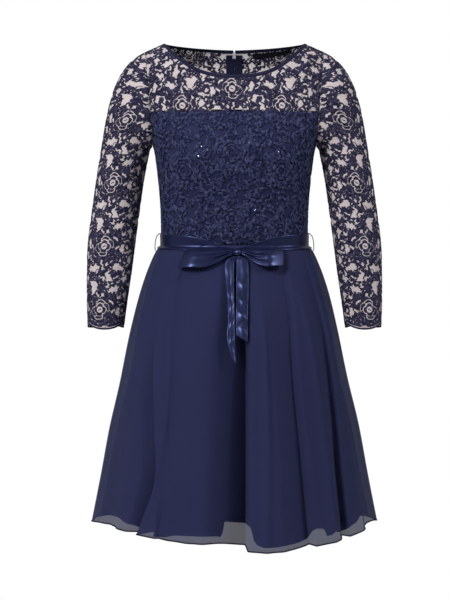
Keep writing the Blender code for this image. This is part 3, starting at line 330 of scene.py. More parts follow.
def sleeveTable(half):
    turns = np.linspace(*sleeveSet["halfTurns"][half], sleeveSet["turns"] + 1)
    ringZ = np.arange(sleeveSet["low"], capStart + 0.1, sleeveSet["step"])
    ringZ[-1] = capStart
    cap, lengths = capCurves(half, turns)
    points = np.concatenate([sleeveRing(turns[None], ringZ[:, None]), cap[1:]])
    normals = unit(np.cross(np.gradient(points, axis=1), np.gradient(points, axis=0)))
    rings = points[: len(ringZ)]
    if (normals[: len(ringZ)] * (rings - rings.mean(1, keepdims=True))).sum() < 0:
        normals = -normals
    return {"turns": turns, "ringZ": ringZ, "points": points, "normals": normals, "lengths": lengths}


sleeveLattice = {half: sleeveTable(half) for half in (front, back)}


def sleeveTurn(u, v):
    return 90 - np.degrees(u / sleeveRadius(np.minimum(v, capStart)))


def sleeveFlatU(turn, v):
    return np.radians(90 - turn) * sleeveRadius(np.minimum(v, capStart))


def capLength(half, turn):
    return np.interp(turn, sleeveLattice[half]["turns"], sleeveLattice[half]["lengths"])


def onSleeve(half, u, v, out=0.0, hand=1):
    made = sleeveLattice[half]
    u, v = np.asarray(u, float), np.asarray(v, float)
    turn = np.clip(sleeveTurn(u, v), made["turns"][0], made["turns"][-1])
    column = (turn - made["turns"][0]) / 180 * sleeveSet["turns"]
    low = np.interp(v, made["ringZ"], np.arange(len(made["ringZ"])))
    high = np.clip((v - capStart) / capLength(half, turn), 0, 1) * sleeveSet["capRows"]
    row = np.where(v <= capStart, low, len(made["ringZ"]) - 1 + high)
    return placed(made, row, column, out, hand)


print("sleeve form ready")

# mesh helpers; points are in millimetres

def gridFaces(rows, columns, closed=False):
    r, c = np.meshgrid(np.arange(rows - 1), np.arange(columns if closed else columns - 1), indexing="ij")
    a = (r * columns + c).ravel()
    b = (r * columns + (c + 1) % columns).ravel()
    return [np.stack([a, b, b + columns, a + columns], 1)]


def nodeName(piece):
    # the CAD node's name of a piece: laceBackLeft is lace_back_left
    return "".join("_" + letter.lower() if letter.isupper() else letter for letter in piece)


def applyModifiers(obj):
    bpy.ops.object.select_all(action="DESELECT")
    bpy.context.view_layer.objects.active = obj
    obj.select_set(True)
    for modifier in list(obj.modifiers):
        bpy.ops.object.modifier_apply(modifier=modifier.name)
    obj.select_set(False)


def newMesh(name, points, faces, flat=None):
    # faces is a list of arrays, each with its own number of corners; flat is the cut cloth's (u, v)
    mesh = bpy.data.meshes.new(name)
    points = np.asarray(points, float).reshape(-1, 3)
    mesh.vertices.add(len(points))
    mesh.vertices.foreach_set("co", (points * mm).ravel())
    loops = np.concatenate([np.asarray(f).ravel() for f in faces]).astype(np.int32)
    sizes = np.concatenate([np.full(len(f), np.asarray(f).shape[1]) for f in faces]).astype(np.int32)
    mesh.loops.add(len(loops))
    mesh.loops.foreach_set("vertex_index", loops)
    mesh.polygons.add(len(sizes))
    mesh.polygons.foreach_set("loop_start", np.concatenate([[0], np.cumsum(sizes)[:-1]]).astype(np.int32))
    mesh.update(calc_edges=True)
    mesh.validate()
    if flat is not None:
        flat = np.asarray(flat, float).reshape(-1, 2) * mm
        layer = mesh.uv_layers.new(name="cut")
        used = np.empty(len(mesh.loops), np.int32)
        mesh.loops.foreach_get("vertex_index", used)
        layer.data.foreach_set("uv", flat[used].ravel())
    mesh.shade_smooth()
    return mesh


def addPiece(name, mesh, material, nodes=(), wall=0.0, grow=1):
    obj = newObject(name, mesh)
    mesh.materials.append(material)
    if wall:
        solid = obj.modifiers.new("wall", "SOLIDIFY")
        solid.thickness = wall * mm
        solid.offset = grow
        applyModifiers(obj)
    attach(obj, "dress")
    if nodes:
        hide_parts(*nodes)
    return obj


def turnedOut(points, faces, normals):
    # the same faces, wound so that they face along the normals
    points, normals = np.asarray(points).reshape(-1, 3), np.asarray(normals).reshape(-1, 3)
    a, b, c = faces[0][:, :3].T
    made = np.cross(points[b] - points[a], points[c] - points[a])
    return [f[:, ::-1] for f in faces] if (made * normals[a]).sum() < 0 else faces


def joined(parts):
    # one set of corners and faces from many
    corners, faces, count = [], [], 0
    for points, made in parts:
        corners.append(points.reshape(-1, 3))
        faces += [np.asarray(face) + count for face in made]
        count += points.size // 3
    return np.concatenate(corners), faces


def insideOutline(outline, u, v):
    # distance to a closed outline, positive inside it
    best, odd = np.full(u.shape, 1e9), np.zeros(u.shape, bool)
    corners = np.asarray(outline, float)
    for (u0, v0), (u1, v1) in zip(corners, np.roll(corners, -1, 0)):
        du, dv = u1 - u0, v1 - v0
        share = np.clip(((u - u0) * du + (v - v0) * dv) / max(du * du + dv * dv, 1e-9), 0, 1)
        best = np.minimum(best, (u - u0 - share * du) ** 2 + (v - v0 - share * dv) ** 2)
        if v0 != v1:
            odd ^= ((v0 > v) != (v1 > v)) & (u < u0 + (v - v0) * du / dv)
    return np.where(odd, 1, -1) * np.sqrt(best)


def traceCloth(field, lowU, lowV, step):
    # faces of the flat cloth where the field is above 0, cut along its zero line
    rows, columns = field.shape
    inside = field > 0
    index = np.full(field.shape, -1)
    index[inside] = np.arange(inside.sum())
    r, c = np.nonzero(inside)
    places = [np.stack([lowU + c * step, lowV + r * step], 1)]
    count = len(r)
    edges = {}
    for key, (dr, dc) in (("across", (0, 1)), ("up", (1, 0))):
        a, b = field[: rows - dr, : columns - dc], field[dr:, dc:]
        r, c = np.nonzero((a > 0) != (b > 0))
        share = np.clip(a[r, c] / (a[r, c] - b[r, c]), 0.04, 0.96)
        table = np.full(field.shape, -1)
        table[r, c] = count + np.arange(len(r))
        count += len(r)
        edges[key] = table
        places.append(np.stack([lowU + (c + share * dc) * step, lowV + (r + share * dr) * step], 1))
    corner = (inside[:-1, :-1] + 2 * inside[:-1, 1:] + 4 * inside[1:, 1:] + 8 * inside[1:, :-1]).astype(int)
    around = [index[:-1, :-1], edges["across"][:-1, :-1], index[:-1, 1:], edges["up"][:-1, 1:],
              index[1:, 1:], edges["across"][1:, :-1], index[1:, :-1], edges["up"][:-1, :-1]]
    faces = []
    for case in range(1, 16):
        bits = [(case >> k) & 1 for k in range(4)]
        ring = []
        for k in range(4):
            if bits[k]:
                ring.append(2 * k)
            if bits[k] != bits[(k + 1) % 4]:
                ring.append(2 * k + 1)
        r, c = np.nonzero(corner == case)
        if len(r):
            faces.append(np.stack([around[k][r, c] for k in ring], 1))
    return np.concatenate(places), faces


# lace: a rose repeats every column and row, and every other column is dropped
laceSet = {
    "column": 92, "row": 119, "drop": -31, "bodyRose": (-5, -90), "sleeveRose": (11, -262),
    "step": 0.5, "seed": 12, "wall": 0.9,
    # gaps round a rose: place, length, width, tilt, bend; how far they are bent, and their points
    "bend": 2.2, "points": (1.08, 0.16, 0.13),
    "gaps": ((20, -43, 25, 12, -15, 0.30), (15, -76, 24, 15, 75, -0.30), (-12, -57, 20, 10, 70, 0.25),
             (-29, -40, 21, 11, 25, 0.25), (-24, -82, 19, 10, -25, 0.25), (40, -63, 17, 9, 85, 0.2),
             (36, 4, 17, 8.5, 80, 0.2), (-36, -4, 17, 8.5, -80, -0.2), (-45, -62, 15, 8.5, -10, 0.2)),
    # rim of a gap; spacing, pitch and thickness of the ground's curls; openings between petals
    "rim": 2.4, "curls": 25.0, "turnPitch": 10.8, "cord": 6.05, "slit": 1.25,
    # petals of a rose, outermost first: how many, how far out, their radius, first angle, how open their
    # outline is; its heart and the seeds in it
    "petals": ((7, 17.2, 9.6, 10, 0.8), (6, 11.0, 8.0, 40, 1.1), (4, 6.2, 6.4, 5, 1.5)), "heart": 6.0,
    "seeds": ((-2.0, 0.8, 1.3), (1.9, -1.2, 1.1)),
    # sprays of leaves: place from the rose, first angle, how many, length, width
    "sprays": ((-14, 20, 118, 3, 15, 7.4), (17, 18, 48, 3, 15, 7.2), (-20, -12, 205, 3, 14, 7.0),
               (22, -10, -20, 3, 14, 7.0), (-7, -22, -105, 2, 11, 6.0), (31, -26, -60, 3, 12, 6.0),
               (-42, -30, 100, 3, 12, 6.0), (-6, -74, 60, 3, 12, 6.0), (30, -88, 20, 3, 12.5, 6.4),
               (-40, -72, 150, 3, 12, 6.2), (45, -44, 40, 2, 12, 6.0), (4, -94, -100, 2, 12, 6.0)),
    # curled stems that thicken in their middle: centre, width, height, start, end, slim, bold
    "dotPitch": 5.4, "dot": 1.15,
    "scrolls": ((15, -75, 15.0, 18.0, -80, 170, 2.2, 8.5), (-24, -82, 13.0, 9.5, 40, 250, 1.8, 6.0),
                (-12, -57, 9.0, 13.5, 20, 190, 1.8, 5.5), (40, -63, 8.5, 12.0, -100, 90, 1.8, 5.5),
                (-29, -40, 14.0, 9.5, 100, 290, 1.8, 5.5), (20, -43, 16.0, 10.0, 20, 150, 1.8, 5.5)),
}


def laceTile():
    # distance to the cloth's edge over two columns of the repeat, positive on the cloth
    width, height, step = 2 * laceSet["column"], laceSet["row"], laceSet["step"]
    u, v = np.meshgrid(np.arange(0, width, step), np.arange(0, height, step))
    chance = np.random.default_rng(laceSet["seed"])
    turnU, turnV = 2 * np.pi * u / width, 2 * np.pi * v / height
    wavyU = u + 1.4 * np.sin(9 * turnV + 2 * np.sin(5 * turnU)) + 0.8 * np.sin(19 * turnV + 3 * turnU)
    wavyV = v + 1.4 * np.sin(13 * turnU + 2 * np.sin(4 * turnV)) + 0.8 * np.sin(27 * turnU + 2 * turnV)

    def near(cu, cv, tilt=0, wavy=False):
        # each place seen from the nearest copy of a centre, turned by its tilt
        a, b = (wavyU, wavyV) if wavy else (u, v)
        du = (a - cu + width / 2) % width - width / 2
        dv = (b - cv + height / 2) % height - height / 2
        t = math.radians(tilt)
        return du * math.cos(t) + dv * math.sin(t), dv * math.cos(t) - du * math.sin(t)

    def leaf(cu, cv, length, wide, tilt):
        x, y = near(cu, cv, tilt)
        y = y - 0.2 * x * x / length
        half = wide / 2 * (1 - np.clip(np.abs(2 * x / length), 0, 1) ** 1.9) * (1 + 0.1 * np.sin(1.7 * x))
        return np.where(np.abs(x) < length / 2, half - np.abs(y), -9), x, y

    blank = np.full(u.shape, -99.0)
    gaps, slits, curl = blank.copy(), blank.copy(), blank.copy()
    roses = [(0, 0), (laceSet["column"], laceSet["drop"])]
    for cu, cv in roses:
        for gu, gv, length, wide, tilt, bend in laceSet["gaps"]:
            x, y = near(cu + gu, cv + gv, tilt, True)
            y = y - bend * laceSet["bend"] * x * x / length
            angle = np.arctan2(y / wide, x / length)
            whole, three, five = laceSet["points"]
            star = whole + three * np.cos(3 * angle + gu) + five * np.cos(5 * angle + gv)
            gaps = np.maximum(gaps, (star - np.hypot(2 * x / length, 2 * y / wide)) * wide / 2)
    # ground of curled cords, each round its own centre
    nearest, second = -blank, -blank
    across, up = round(width / laceSet["curls"]), 2 * round(height / laceSet["curls"] / 2)
    for i in range(across):
        for j in range(up):
            x, y = near((i + 0.5 * (j % 2) + chance.uniform(-0.30, 0.30)) * width / across,
                        (j + chance.uniform(-0.30, 0.30)) * height / up, 0, True)
            hand, first = (1 if (i + j) % 2 else -1), chance.uniform(0, 1)
            far, spin = np.hypot(x, y), np.arctan2(y, x) / (2 * np.pi)
            phase = (far / laceSet["turnPitch"] - hand * spin + first) % 1
            thick = laceSet["cord"] * (1 + 0.45 * np.sin(2 * np.pi * (2 * spin + first)))
            curl = np.where(far < nearest, thick / 2 - np.abs(phase - 0.5) * laceSet["turnPitch"], curl)
            second = np.minimum(second, np.maximum(nearest, far))
            nearest = np.minimum(nearest, far)
    between = 0.9 * (1 + 0.6 * np.sin(7 * turnU + 3 * turnV)) - (second - nearest) / 2
    solid = np.maximum(np.maximum(curl, between), laceSet["rim"] / 2 - np.abs(gaps + laceSet["rim"] / 2))
    for cu, cv in roses:
        for su, sv, angle, count, length, wide in laceSet["sprays"]:
            for k in range(count):
                tilt = angle + (k - (count - 1) / 2) * 50
                leafU = cu + su + 0.55 * length * math.cos(math.radians(tilt))
                leafV = cv + sv + 0.55 * length * math.sin(math.radians(tilt))
                shape, x, y = leaf(leafU, leafV, length, wide, tilt)
                solid = np.where((shape > -1) & (shape < 0), np.minimum(solid, -shape - 0.8), solid)
                solid, slits = np.maximum(solid, shape), np.where(shape > 0, -99, slits)
                if k % 2:
                    vein = np.minimum(laceSet["slit"] * 0.38 - np.abs(y), length * 0.30 - np.abs(x))
                    slits = np.maximum(slits, np.minimum(vein, shape - 1.2))
        for su, sv, wideU, wideV, start, end, slim, bold in laceSet["scrolls"]:
            x, y = near(cu + su, cv + sv)
            t = ((np.degrees(np.arctan2(y / wideV, x / wideU)) - start) % 360) / (end - start)
            thick = slim + (bold - slim) * np.sin(np.pi * np.clip(t, 0, 1)) ** 1.3
            off = np.abs(np.hypot(x / wideU, y / wideV) - 1) * min(wideU, wideV)
            solid = np.maximum(solid, np.where(t <= 1, thick / 2 - off, -99))
            count = math.radians(end - start) * (wideU + wideV) / 2 // laceSet["dotPitch"]
            dots = laceSet["dot"] - np.hypot(off, ((t * count) % 1 - 0.5) * laceSet["dotPitch"])
            slits = np.maximum(slits, np.where((thick > 4.4) & (t < 1), dots, -99))
    field = np.minimum(np.minimum(solid, -gaps), -slits)
    for cu, cv in roses:
        # a rose of overlapping petals: each lies over those laid before it
        whole, lines = blank.copy(), blank.copy()
        for count, far, radius, first, fine in laceSet["petals"]:
            for k in range(count):
                t = math.radians(first + 360 * k / count)
                x, y = near(cu + far * math.cos(t), cv + far * math.sin(t), math.degrees(t))
                petal = radius * (1 + 0.05 * np.cos(4 * np.arctan2(y, x) + k)) - np.hypot(x * 1.12, y)
                lines = np.where(petal > 0, -99, lines)
                thick = laceSet["slit"] * fine * (0.7 + 0.3 * (5 * k % 3))
                rim = np.minimum(thick / 2 - np.abs(petal + laceSet["slit"] / 2), (x + radius * 0.25) * 0.8)
                whole, lines = np.maximum(whole, petal), np.maximum(lines, rim)
        x, y = near(cu, cv)
        heart = laceSet["heart"] - np.hypot(x, y)
        seeds = blank.copy()
        for su, sv, size in laceSet["seeds"]:
            seeds = np.maximum(seeds, size - np.hypot(x - su, y - sv))
        lines = np.maximum(np.where(heart > 0, -99, lines), np.minimum(heart, -seeds))
        lines = np.minimum(lines, whole - 0.6)
        field = np.where((whole < 0) & (whole > -1.3), np.minimum(field, -whole - 1.0), field)
        field = np.minimum(np.maximum(field, whole), -lines)
    return field


lace = laceTile()
print("lace repeat ready", round(float((lace > 0).mean()), 3))


def laceHeight(u, v, rose):
    # the repeat read at flat places, with its rose at the named place
    step = laceSet["step"]
    column = ((np.asarray(u, float) - rose[0]) / step) % lace.shape[1]
    row = ((np.asarray(v, float) - rose[1]) / step) % lace.shape[0]
    c, r = column.astype(int), row.astype(int)
    a, b = row - r, column - c
    c1, r1 = (c + 1) % lace.shape[1], (r + 1) % lace.shape[0]
    c, r = c % lace.shape[1], r % lace.shape[0]
    return (lace[r, c] * (1 - a) * (1 - b) + lace[r1, c] * a * (1 - b)
            + lace[r, c1] * (1 - a) * b + lace[r1, c1] * a * b)


def fabric(name, dark, light, roughness, weave=None, relief=0.2, cloudy=18.0, alpha=1.0, outline=0.0,
           deep=None, **sockets):
    # woven cloth: cloudy colour between dark and light, and a fine weave; sockets are the shader's own;
    # outline paints a highlight along a cloth's own edges, in place of light caught by a raised cord, and
    # deep tints in painted shade
    material = bpy.data.materials.new(name)
    material.use_nodes = True
    tree = material.node_tree
    shader = tree.nodes["Principled BSDF"]

    def node(kind, links=(), values=(), **kept):
        # a shader node, its links in and its sockets' own values
        made = tree.nodes.new("ShaderNode" + kind)
        for key, value in kept.items():
            setattr(made, key, value)
        for key, value in dict(values).items():
            made.inputs[key].default_value = value
        for key, output in dict(links).items():
            tree.links.new(output, made.inputs[key])
        return made

    shader.inputs["Roughness"].default_value = roughness
    shader.inputs["Alpha"].default_value = alpha
    for key, value in sockets.items():
        shader.inputs[key.replace("_", " ")].default_value = value
    place = node("TexCoord")
    cloud = node("TexNoise", {"Vector": place.outputs["Object"]},
                 {"Scale": cloudy, "Detail": 6.0 if outline else 2.0}).outputs["Fac"]
    # a mask of painted light on the corners: the lace's distance from its own edge, or the chiffon's painted
    # pleat shade
    paintedLightMask = node("Attribute", attribute_name="paintedLightMask").outputs["Fac"] if outline or deep else None
    # painted highlight: the colour turns lighter towards the cloth's own edges
    if outline:
        spread = node("MapRange", {"Value": cloud}, {"From Min": 0.34, "From Max": 0.68})
        cloud = node("Math", {0: paintedLightMask, 2: spread.outputs["Result"]}, {1: -outline},
                     operation="MULTIPLY_ADD").outputs["Value"]
    colour = node("Mix", {"Factor": cloud}, {"A": (*dark, 1), "B": (*light, 1)}, data_type="RGBA",
                  clamp_factor=True).outputs["Result"]
    # painted shade: the colour is darkened by the deep tint where the mask is high
    if deep:
        colour = node("Mix", {"A": colour, "Factor": paintedLightMask}, {"B": (*deep, 1)}, data_type="RGBA",
                      blend_type="MULTIPLY").outputs["Result"]
    tree.links.new(colour, shader.inputs["Base Color"])
    if weave:
        bands = [node("TexWave", {"Vector": place.outputs["UV"]}, {"Scale": scale, "Distortion": 1.2},
                      wave_type="BANDS", bands_direction=direction).outputs["Fac"]
                 for direction, scale in zip("XY", weave)]
        both = node("Math", dict(enumerate(bands)), operation="ADD")
        raised = node("Bump", {"Height": both.outputs["Value"]}, {"Strength": relief, "Distance": 0.0004})
        tree.links.new(raised.outputs["Normal"], shader.inputs["Normal"])
    return material


# finishes: dark and light colour (linear), roughness, the weave's two scales, its relief, the clouds' scale
cloth = {"Specular_IOR_Level": 0.10, "Specular_Tint": (0.5, 0.5, 1.0, 1)}
satin = {"Specular_IOR_Level": 0.66, "Specular_Tint": (0.34, 0.42, 1.0, 1), "Anisotropic": 0.3}
# deep is the tint of the painted shade inside the deep front pleat
chiffon = {"alpha": 0.69, "deep": (0.52, 0.52, 0.56), "Sheen_Weight": 0.05, "Sheen_Roughness": 0.4,
           "Sheen_Tint": (0.6, 0.65, 1.0, 1), **cloth}
finishes = {name: fabric(name, *values, **sockets) for name, sockets, *values in (
    # outline paints a highlight along the lace's edges; linedThread is the same thread painted lighter where
    # it lies over the lining, a painted highlight of its raised motifs
    ("laceThread", {"outline": 0.35, **cloth}, (0.014, 0.013, 0.030), (0.046, 0.043, 0.082), 0.8,
     (700, 900), 0.6, 160),
    ("linedThread", {"outline": 0.55, **cloth}, (0.009, 0.011, 0.036), (0.064, 0.072, 0.150), 0.8,
     (700, 900), 0.6, 200),
    ("paleNet", {"alpha": 0.85, **cloth}, (0.450, 0.397, 0.398), (0.522, 0.456, 0.457), 0.85, (1500, 1500),
     0.3, 12),
    ("liningCloth", cloth, (0.012, 0.013, 0.040), (0.017, 0.019, 0.052), 0.55, (2200, 1800), 0.15, 20),
    ("chiffon", chiffon, (0.020, 0.023, 0.064), (0.024, 0.027, 0.074), 0.85, (1600, 1900), 0.35, 9),
    ("chiffonHem", cloth, (0.006, 0.006, 0.018), (0.010, 0.010, 0.026), 0.8, (1800, 1800), 0.2, 60),
    ("satin", satin, (0.0035, 0.0045, 0.016), (0.0065, 0.008, 0.027), 0.31, (2600, 300), 0.05, 40),
    ("bindingCloth", cloth, (0.010, 0.010, 0.026), (0.015, 0.015, 0.036), 0.7, (1500, 1200), 0.3, 40),
    ("tapeCloth", cloth, (0.007, 0.007, 0.021), (0.011, 0.011, 0.030), 0.75, (900, 2400), 0.4, 60),
    ("labelCloth", cloth, (0.005, 0.005, 0.008), (0.010, 0.010, 0.014), 0.5, (2600, 1200), 0.3, 80),
    ("threadCord", cloth, (0.007, 0.007, 0.018), (0.013, 0.013, 0.030), 0.6, (3000, 3000), 0.3, 200),
    ("zipMetal", {"Metallic": 0.6}, (0.74, 0.74, 0.77), (0.84, 0.84, 0.87), 0.42, None, 0, 900),
    ("sequin", {"Metallic": 1.0}, (0.35, 0.45, 0.75), (0.75, 0.85, 1.0), 0.12, None, 0, 300),
)}
print("finishes ready")


def thinned(points, faces, ratio):
    # the flat cloth with fewer corners where nothing bends; points are (u, v, height)
    mesh = newMesh("flatCloth", points, faces)
    obj = newObject("flatCloth", mesh)
    less = obj.modifiers.new("less", "DECIMATE")
    less.ratio = ratio
    applyModifiers(obj)
    mesh = obj.data
    made = np.empty(len(mesh.vertices) * 3)
    mesh.vertices.foreach_get("co", made)
    mesh.calc_loop_triangles()
    corners = np.empty(len(mesh.loop_triangles) * 3, np.int32)
    mesh.loop_triangles.foreach_get("vertices", corners)
    bpy.data.objects.remove(obj)
    bpy.data.meshes.remove(mesh)
    return made.reshape(-1, 3) / mm, [corners.reshape(-1, 3)]


def lacePanel(name, node, field, low, step, place, ratio, lined=None):
    # cut the pattern out of a flat field, thin it, and hang it on its surface
    def height(flat):
        row, column = (flat[:, 1] - low[1]) / step, (flat[:, 0] - low[0]) / step
        return readLattice(field[..., None], row, column)[:, 0]

    flat, faces = traceCloth(field, low[0], low[1], step)
    raised = 0.55 * np.clip(height(flat) / 1.6, 0, 1) ** 0.7
    flat, faces = thinned(np.column_stack([flat, raised]), faces, ratio)
    points, normals = place(flat[:, 0], flat[:, 1], flat[:, 2])
    faces = turnedOut(points, faces, normals)
    mesh = newMesh(name, points, faces, flat[:, :2])
    # how far each corner lies from the cloth's own edge, which sets where the highlight along the edges is
    # painted
    paintedLightMask = np.clip(height(flat) / 3, 0, 1).astype(np.float32)
    mesh.attributes.new("paintedLightMask", "FLOAT", "POINT").data.foreach_set("value", paintedLightMask)
    obj = addPiece(name, mesh, finishes["laceThread"], (node,), wall=laceSet["wall"], grow=-1)
    # over the lining the faces take the lighter copy of the same thread: painted highlight
    if lined is not None:
        obj.data.materials.append(finishes["linedThread"])
        middle = np.empty(len(obj.data.polygons) * 3)
        obj.data.polygons.foreach_get("center", middle)
        over = middle.reshape(-1, 3)[:, 2] < lined * mm
        obj.data.polygons.foreach_set("material_index", over.astype(np.int32))
    print(name, "triangles", sum(len(p.vertices) - 2 for p in obj.data.polygons))


def necklineZ(side, x):
    depth, power = bodySet["frontNeck"] if side == front else bodySet["backNeck"]
    return depth * (1 - (np.abs(x) / bodySet["neckHalf"]) ** power)


def neckLine(side, inset, count=48):
    # the neckline in the flat from the wearer's right to left, moved into the panel
    x = bodySet["neckHalf"] * np.sin(np.pi * (np.arange(count + 1) / count - 0.5))
    v = np.minimum(flatV(x, necklineZ(side, x)), ridgeV(x))
    line = np.stack([flatU(side, x, v), v], 1)
    if inset == 0:
        return line
    along = unit(line[2:] - line[:-2])
    moved = line[1:-1] + np.stack([along[:, 1], -along[:, 0]], 1) * inset
    endX = bodySet["neckHalf"] + inset * math.cos(math.atan(bodySet["shoulderFall"]))
    end = np.array([float(flatU(side, endX, 0)), float(ridgeV(endX))])
    moved = moved[np.abs(moved[:, 0]) < end[0] - 0.3]
    return np.concatenate([[[-end[0], end[1]]], moved, [end]])


def panelEdge(side):
    # shoulder seam, armhole and side seam of the wearer's left, top to bottom
    start = bodySet["neckHalf"] + bodySet["laceNeck"] * math.cos(math.atan(bodySet["shoulderFall"]))
    x = np.linspace(start, bodySet["shoulderTip"], 8)[1:]
    shoulder = np.stack([flatU(side, x, 0), ridgeV(x)], 1)
    v = np.linspace(float(ridgeV(bodySet["shoulderTip"])), bodySet["underarm"], 40)[1:]
    armhole = np.stack([sideU(side, v), v], 1)
    v = np.linspace(bodySet["underarm"], bodySet["seamEnd"], 24)[1:]
    seam = np.stack([sideU(side, v), v], 1)
    return np.concatenate([shoulder, armhole, seam])


def flatPlaces(outline, margin, step):
    # the lowest place of an outline with a margin round it, and a grid of flat places over it
    low, high = outline.min(0) - margin, outline.max(0) + margin
    return low, np.meshgrid(np.arange(low[0], high[0], step), np.arange(low[1], high[1], step))


def laceBodice():
    inset, step, right = bodySet["laceNeck"], bodySet["laceStep"], panelEdge(front)
    # beside the zip the back's lace leaves room for the teeth, and more for the slider above the notch
    wide, foot = bodySet["notch"]
    zipTop = float(flatV(0.0, necklineZ(back, 0.0))) - inset
    notch = [[seamRoom, bodySet["seamEnd"]], [seamRoom, foot], [wide, foot], [wide, zipTop]]
    neck = neckLine(back, inset)
    outlines = {front: np.concatenate([neckLine(front, inset), right, (right * [-1, 1])[::-1]]),
                back: np.concatenate([notch, neck[neck[:, 0] > 2], panelEdge(back)])}
    for part, side, hand in panels:
        low, (u, v) = flatPlaces(outlines[side], 2, step)
        field = np.minimum(laceHeight(u, v, laceSet["bodyRose"]), insideOutline(outlines[side], u, v))
        lacePanel("lace" + part, nodeName("lace" + part), field, low, step,
                  lambda u, v, out: onBody(side, u, v, bodySet["laceOut"] + out, hand), bodySet["laceKept"],
                  bodySet["liningTop"])


def cuffV(u):
    period = 2 * math.pi * float(sleeveRadius(sleeveSet["cuff"])) / sleeveSet["scallops"]
    return sleeveSet["cuff"] - sleeveSet["scallopDepth"] * np.abs(np.cos(math.pi * u / period)) ** 0.8


def sleeveField(half, u, v):
    # distance inside the sleeve half's own edges, and above its cuff
    turn = sleeveTurn(u, v)
    low, high = sleeveSet["halfTurns"][half]
    radius = sleeveRadius(np.minimum(v, capStart))
    sides = np.minimum(turn - low, high - turn) * np.pi / 180 * radius - seamRoom
    top = capStart + capLength(half, np.clip(turn, low, high)) - v
    lower = (v - cuffV(u)) * 0.93
    return np.minimum(np.minimum(sides, top), lower), lower


def laceSleeves():
    step = sleeveSet["laceStep"]
    for half, part in halves:
        ends = np.radians(90 - np.array(sleeveSet["halfTurns"][half][::-1]))[:, None]
        around = ends * sleeveRadius(np.array([sleeveSet["low"], capStart]))
        low = (around.min() - 3, sleeveSet["laceLow"])
        high = (around.max() + 3, capStart + sleeveLattice[half]["lengths"].max() + 3)
        u, v = np.meshgrid(np.arange(low[0], high[0], step), np.arange(low[1], high[1], step))
        edge, lower = sleeveField(half, u, v)
        # a close border at the cuff with a narrow slit along it
        slit = np.maximum(3.3 - lower, lower - 4.5)
        pattern = laceHeight(u, v, laceSet["sleeveRose"])
        field = np.minimum(np.maximum(pattern, np.minimum(9.0 - lower, slit)), edge)
        field = np.where((lower > 2) & (lower < 5.5), np.minimum(field, slit), field)
        for hand, word in hands:
            lacePanel("laceSleeve" + part + word, nodeName("sleeve" + part + word), field, low, step,
                      lambda u, v, out: onSleeve(half, u, v, sleeveSet["laceOut"] + out, hand),
                      sleeveSet["laceKept"])


laceBodice()
laceSleeves()
print("lace ready")


def gridPiece(name, points, normals, material, nodes=(), flat=None, wall=0.0, closed=False,
              paintedLightMask=None):
    # a piece over a grid of points, its wall growing outwards
    rows, columns = points.shape[:2]
    faces = turnedOut(points, gridFaces(rows, columns, closed), normals)
    mesh = newMesh(name, points, faces, flat)
    # a mask of painted shade stored on the corners, when given
    if paintedLightMask is not None:
        shade = mesh.attributes.new("paintedLightMask", "FLOAT", "POINT")
        shade.data.foreach_set("value", paintedLightMask.ravel().astype(np.float32))
    return addPiece(name, mesh, finishes[material], nodes, wall)


def flatGrid(columns, rows):
    return np.stack(np.meshgrid(columns, rows), -1)


def addLinings():
    # lining of the bodice, with its straight top edge; at the back it ends at the zip tape
    rows = np.linspace(bodySet["seamEnd"], bodySet["liningTop"], 44)
    for part, side, hand in panels:
        name = "lining" + part
        edge = sideU(side, rows) - bodySet["liningInset"] * ease((rows - bodySet["underarm"]) / 20)
        low = -edge if side == front else np.full(len(rows), bodySet["liningZip"])
        u = low[:, None] + (edge - low)[:, None] * np.linspace(0, 1, 52)
        v = rows[:, None] + 0 * u
        points, normals = onBody(side, u, v, 0.0 * u, hand)
        piece = gridPiece(name, points, normals, "liningCloth", ("bodice_" + nodeName(name),),
                          np.stack([u, v], -1), bodySet["liningWall"])


def addBodyNets():
    # fine net behind the yoke's lace, sewn to the lining's top
    foot, step = bodySet["liningTop"] - 2, bodySet["netStep"]
    gap, zipTop = bodySet["netZip"]
    for part, side, hand in panels:
        neck = neckLine(side, bodySet["netNeck"], 80)
        right = panelEdge(side)
        right = right[right[:, 1] > foot]
        if side == front:
            outline = np.concatenate([neck, right, (right * [-1, 1])[::-1]])
        else:
            outline = np.concatenate([[[gap, foot], [gap, zipTop]], neck[neck[:, 0] > 2], right])
        low, (u, v) = flatPlaces(outline, 3, step)
        flat, faces = traceCloth(insideOutline(outline, u, v), low[0], low[1], step)
        points, normals = onBody(side, flat[:, 0], flat[:, 1], np.full(len(flat), bodySet["netOut"]), hand)
        mesh = newMesh("net" + part, points, turnedOut(points, faces, normals), flat)
        piece = addPiece("net" + part, mesh, finishes["paleNet"])


def addSleeveNets():
    for half, part in halves:
        turn = np.linspace(*sleeveSet["halfTurns"][half], 61)
        bottom = cuffV(sleeveFlatU(turn, -530.0)) + 3.0
        top = capStart + capLength(half, turn)
        v = bottom + (top - bottom) * np.linspace(0, 1, 110)[:, None]
        u = sleeveFlatU(turn + 0 * v, v)
        for hand, word in hands:
            points, normals = onSleeve(half, u, v, 0 * u + sleeveSet["netOut"], hand)
            piece = gridPiece("netSleeve" + part + word, points, normals, "paleNet",
                              flat=np.stack([u, v], -1))


addLinings()
addBodyNets()
addSleeveNets()
print("lining and net ready")

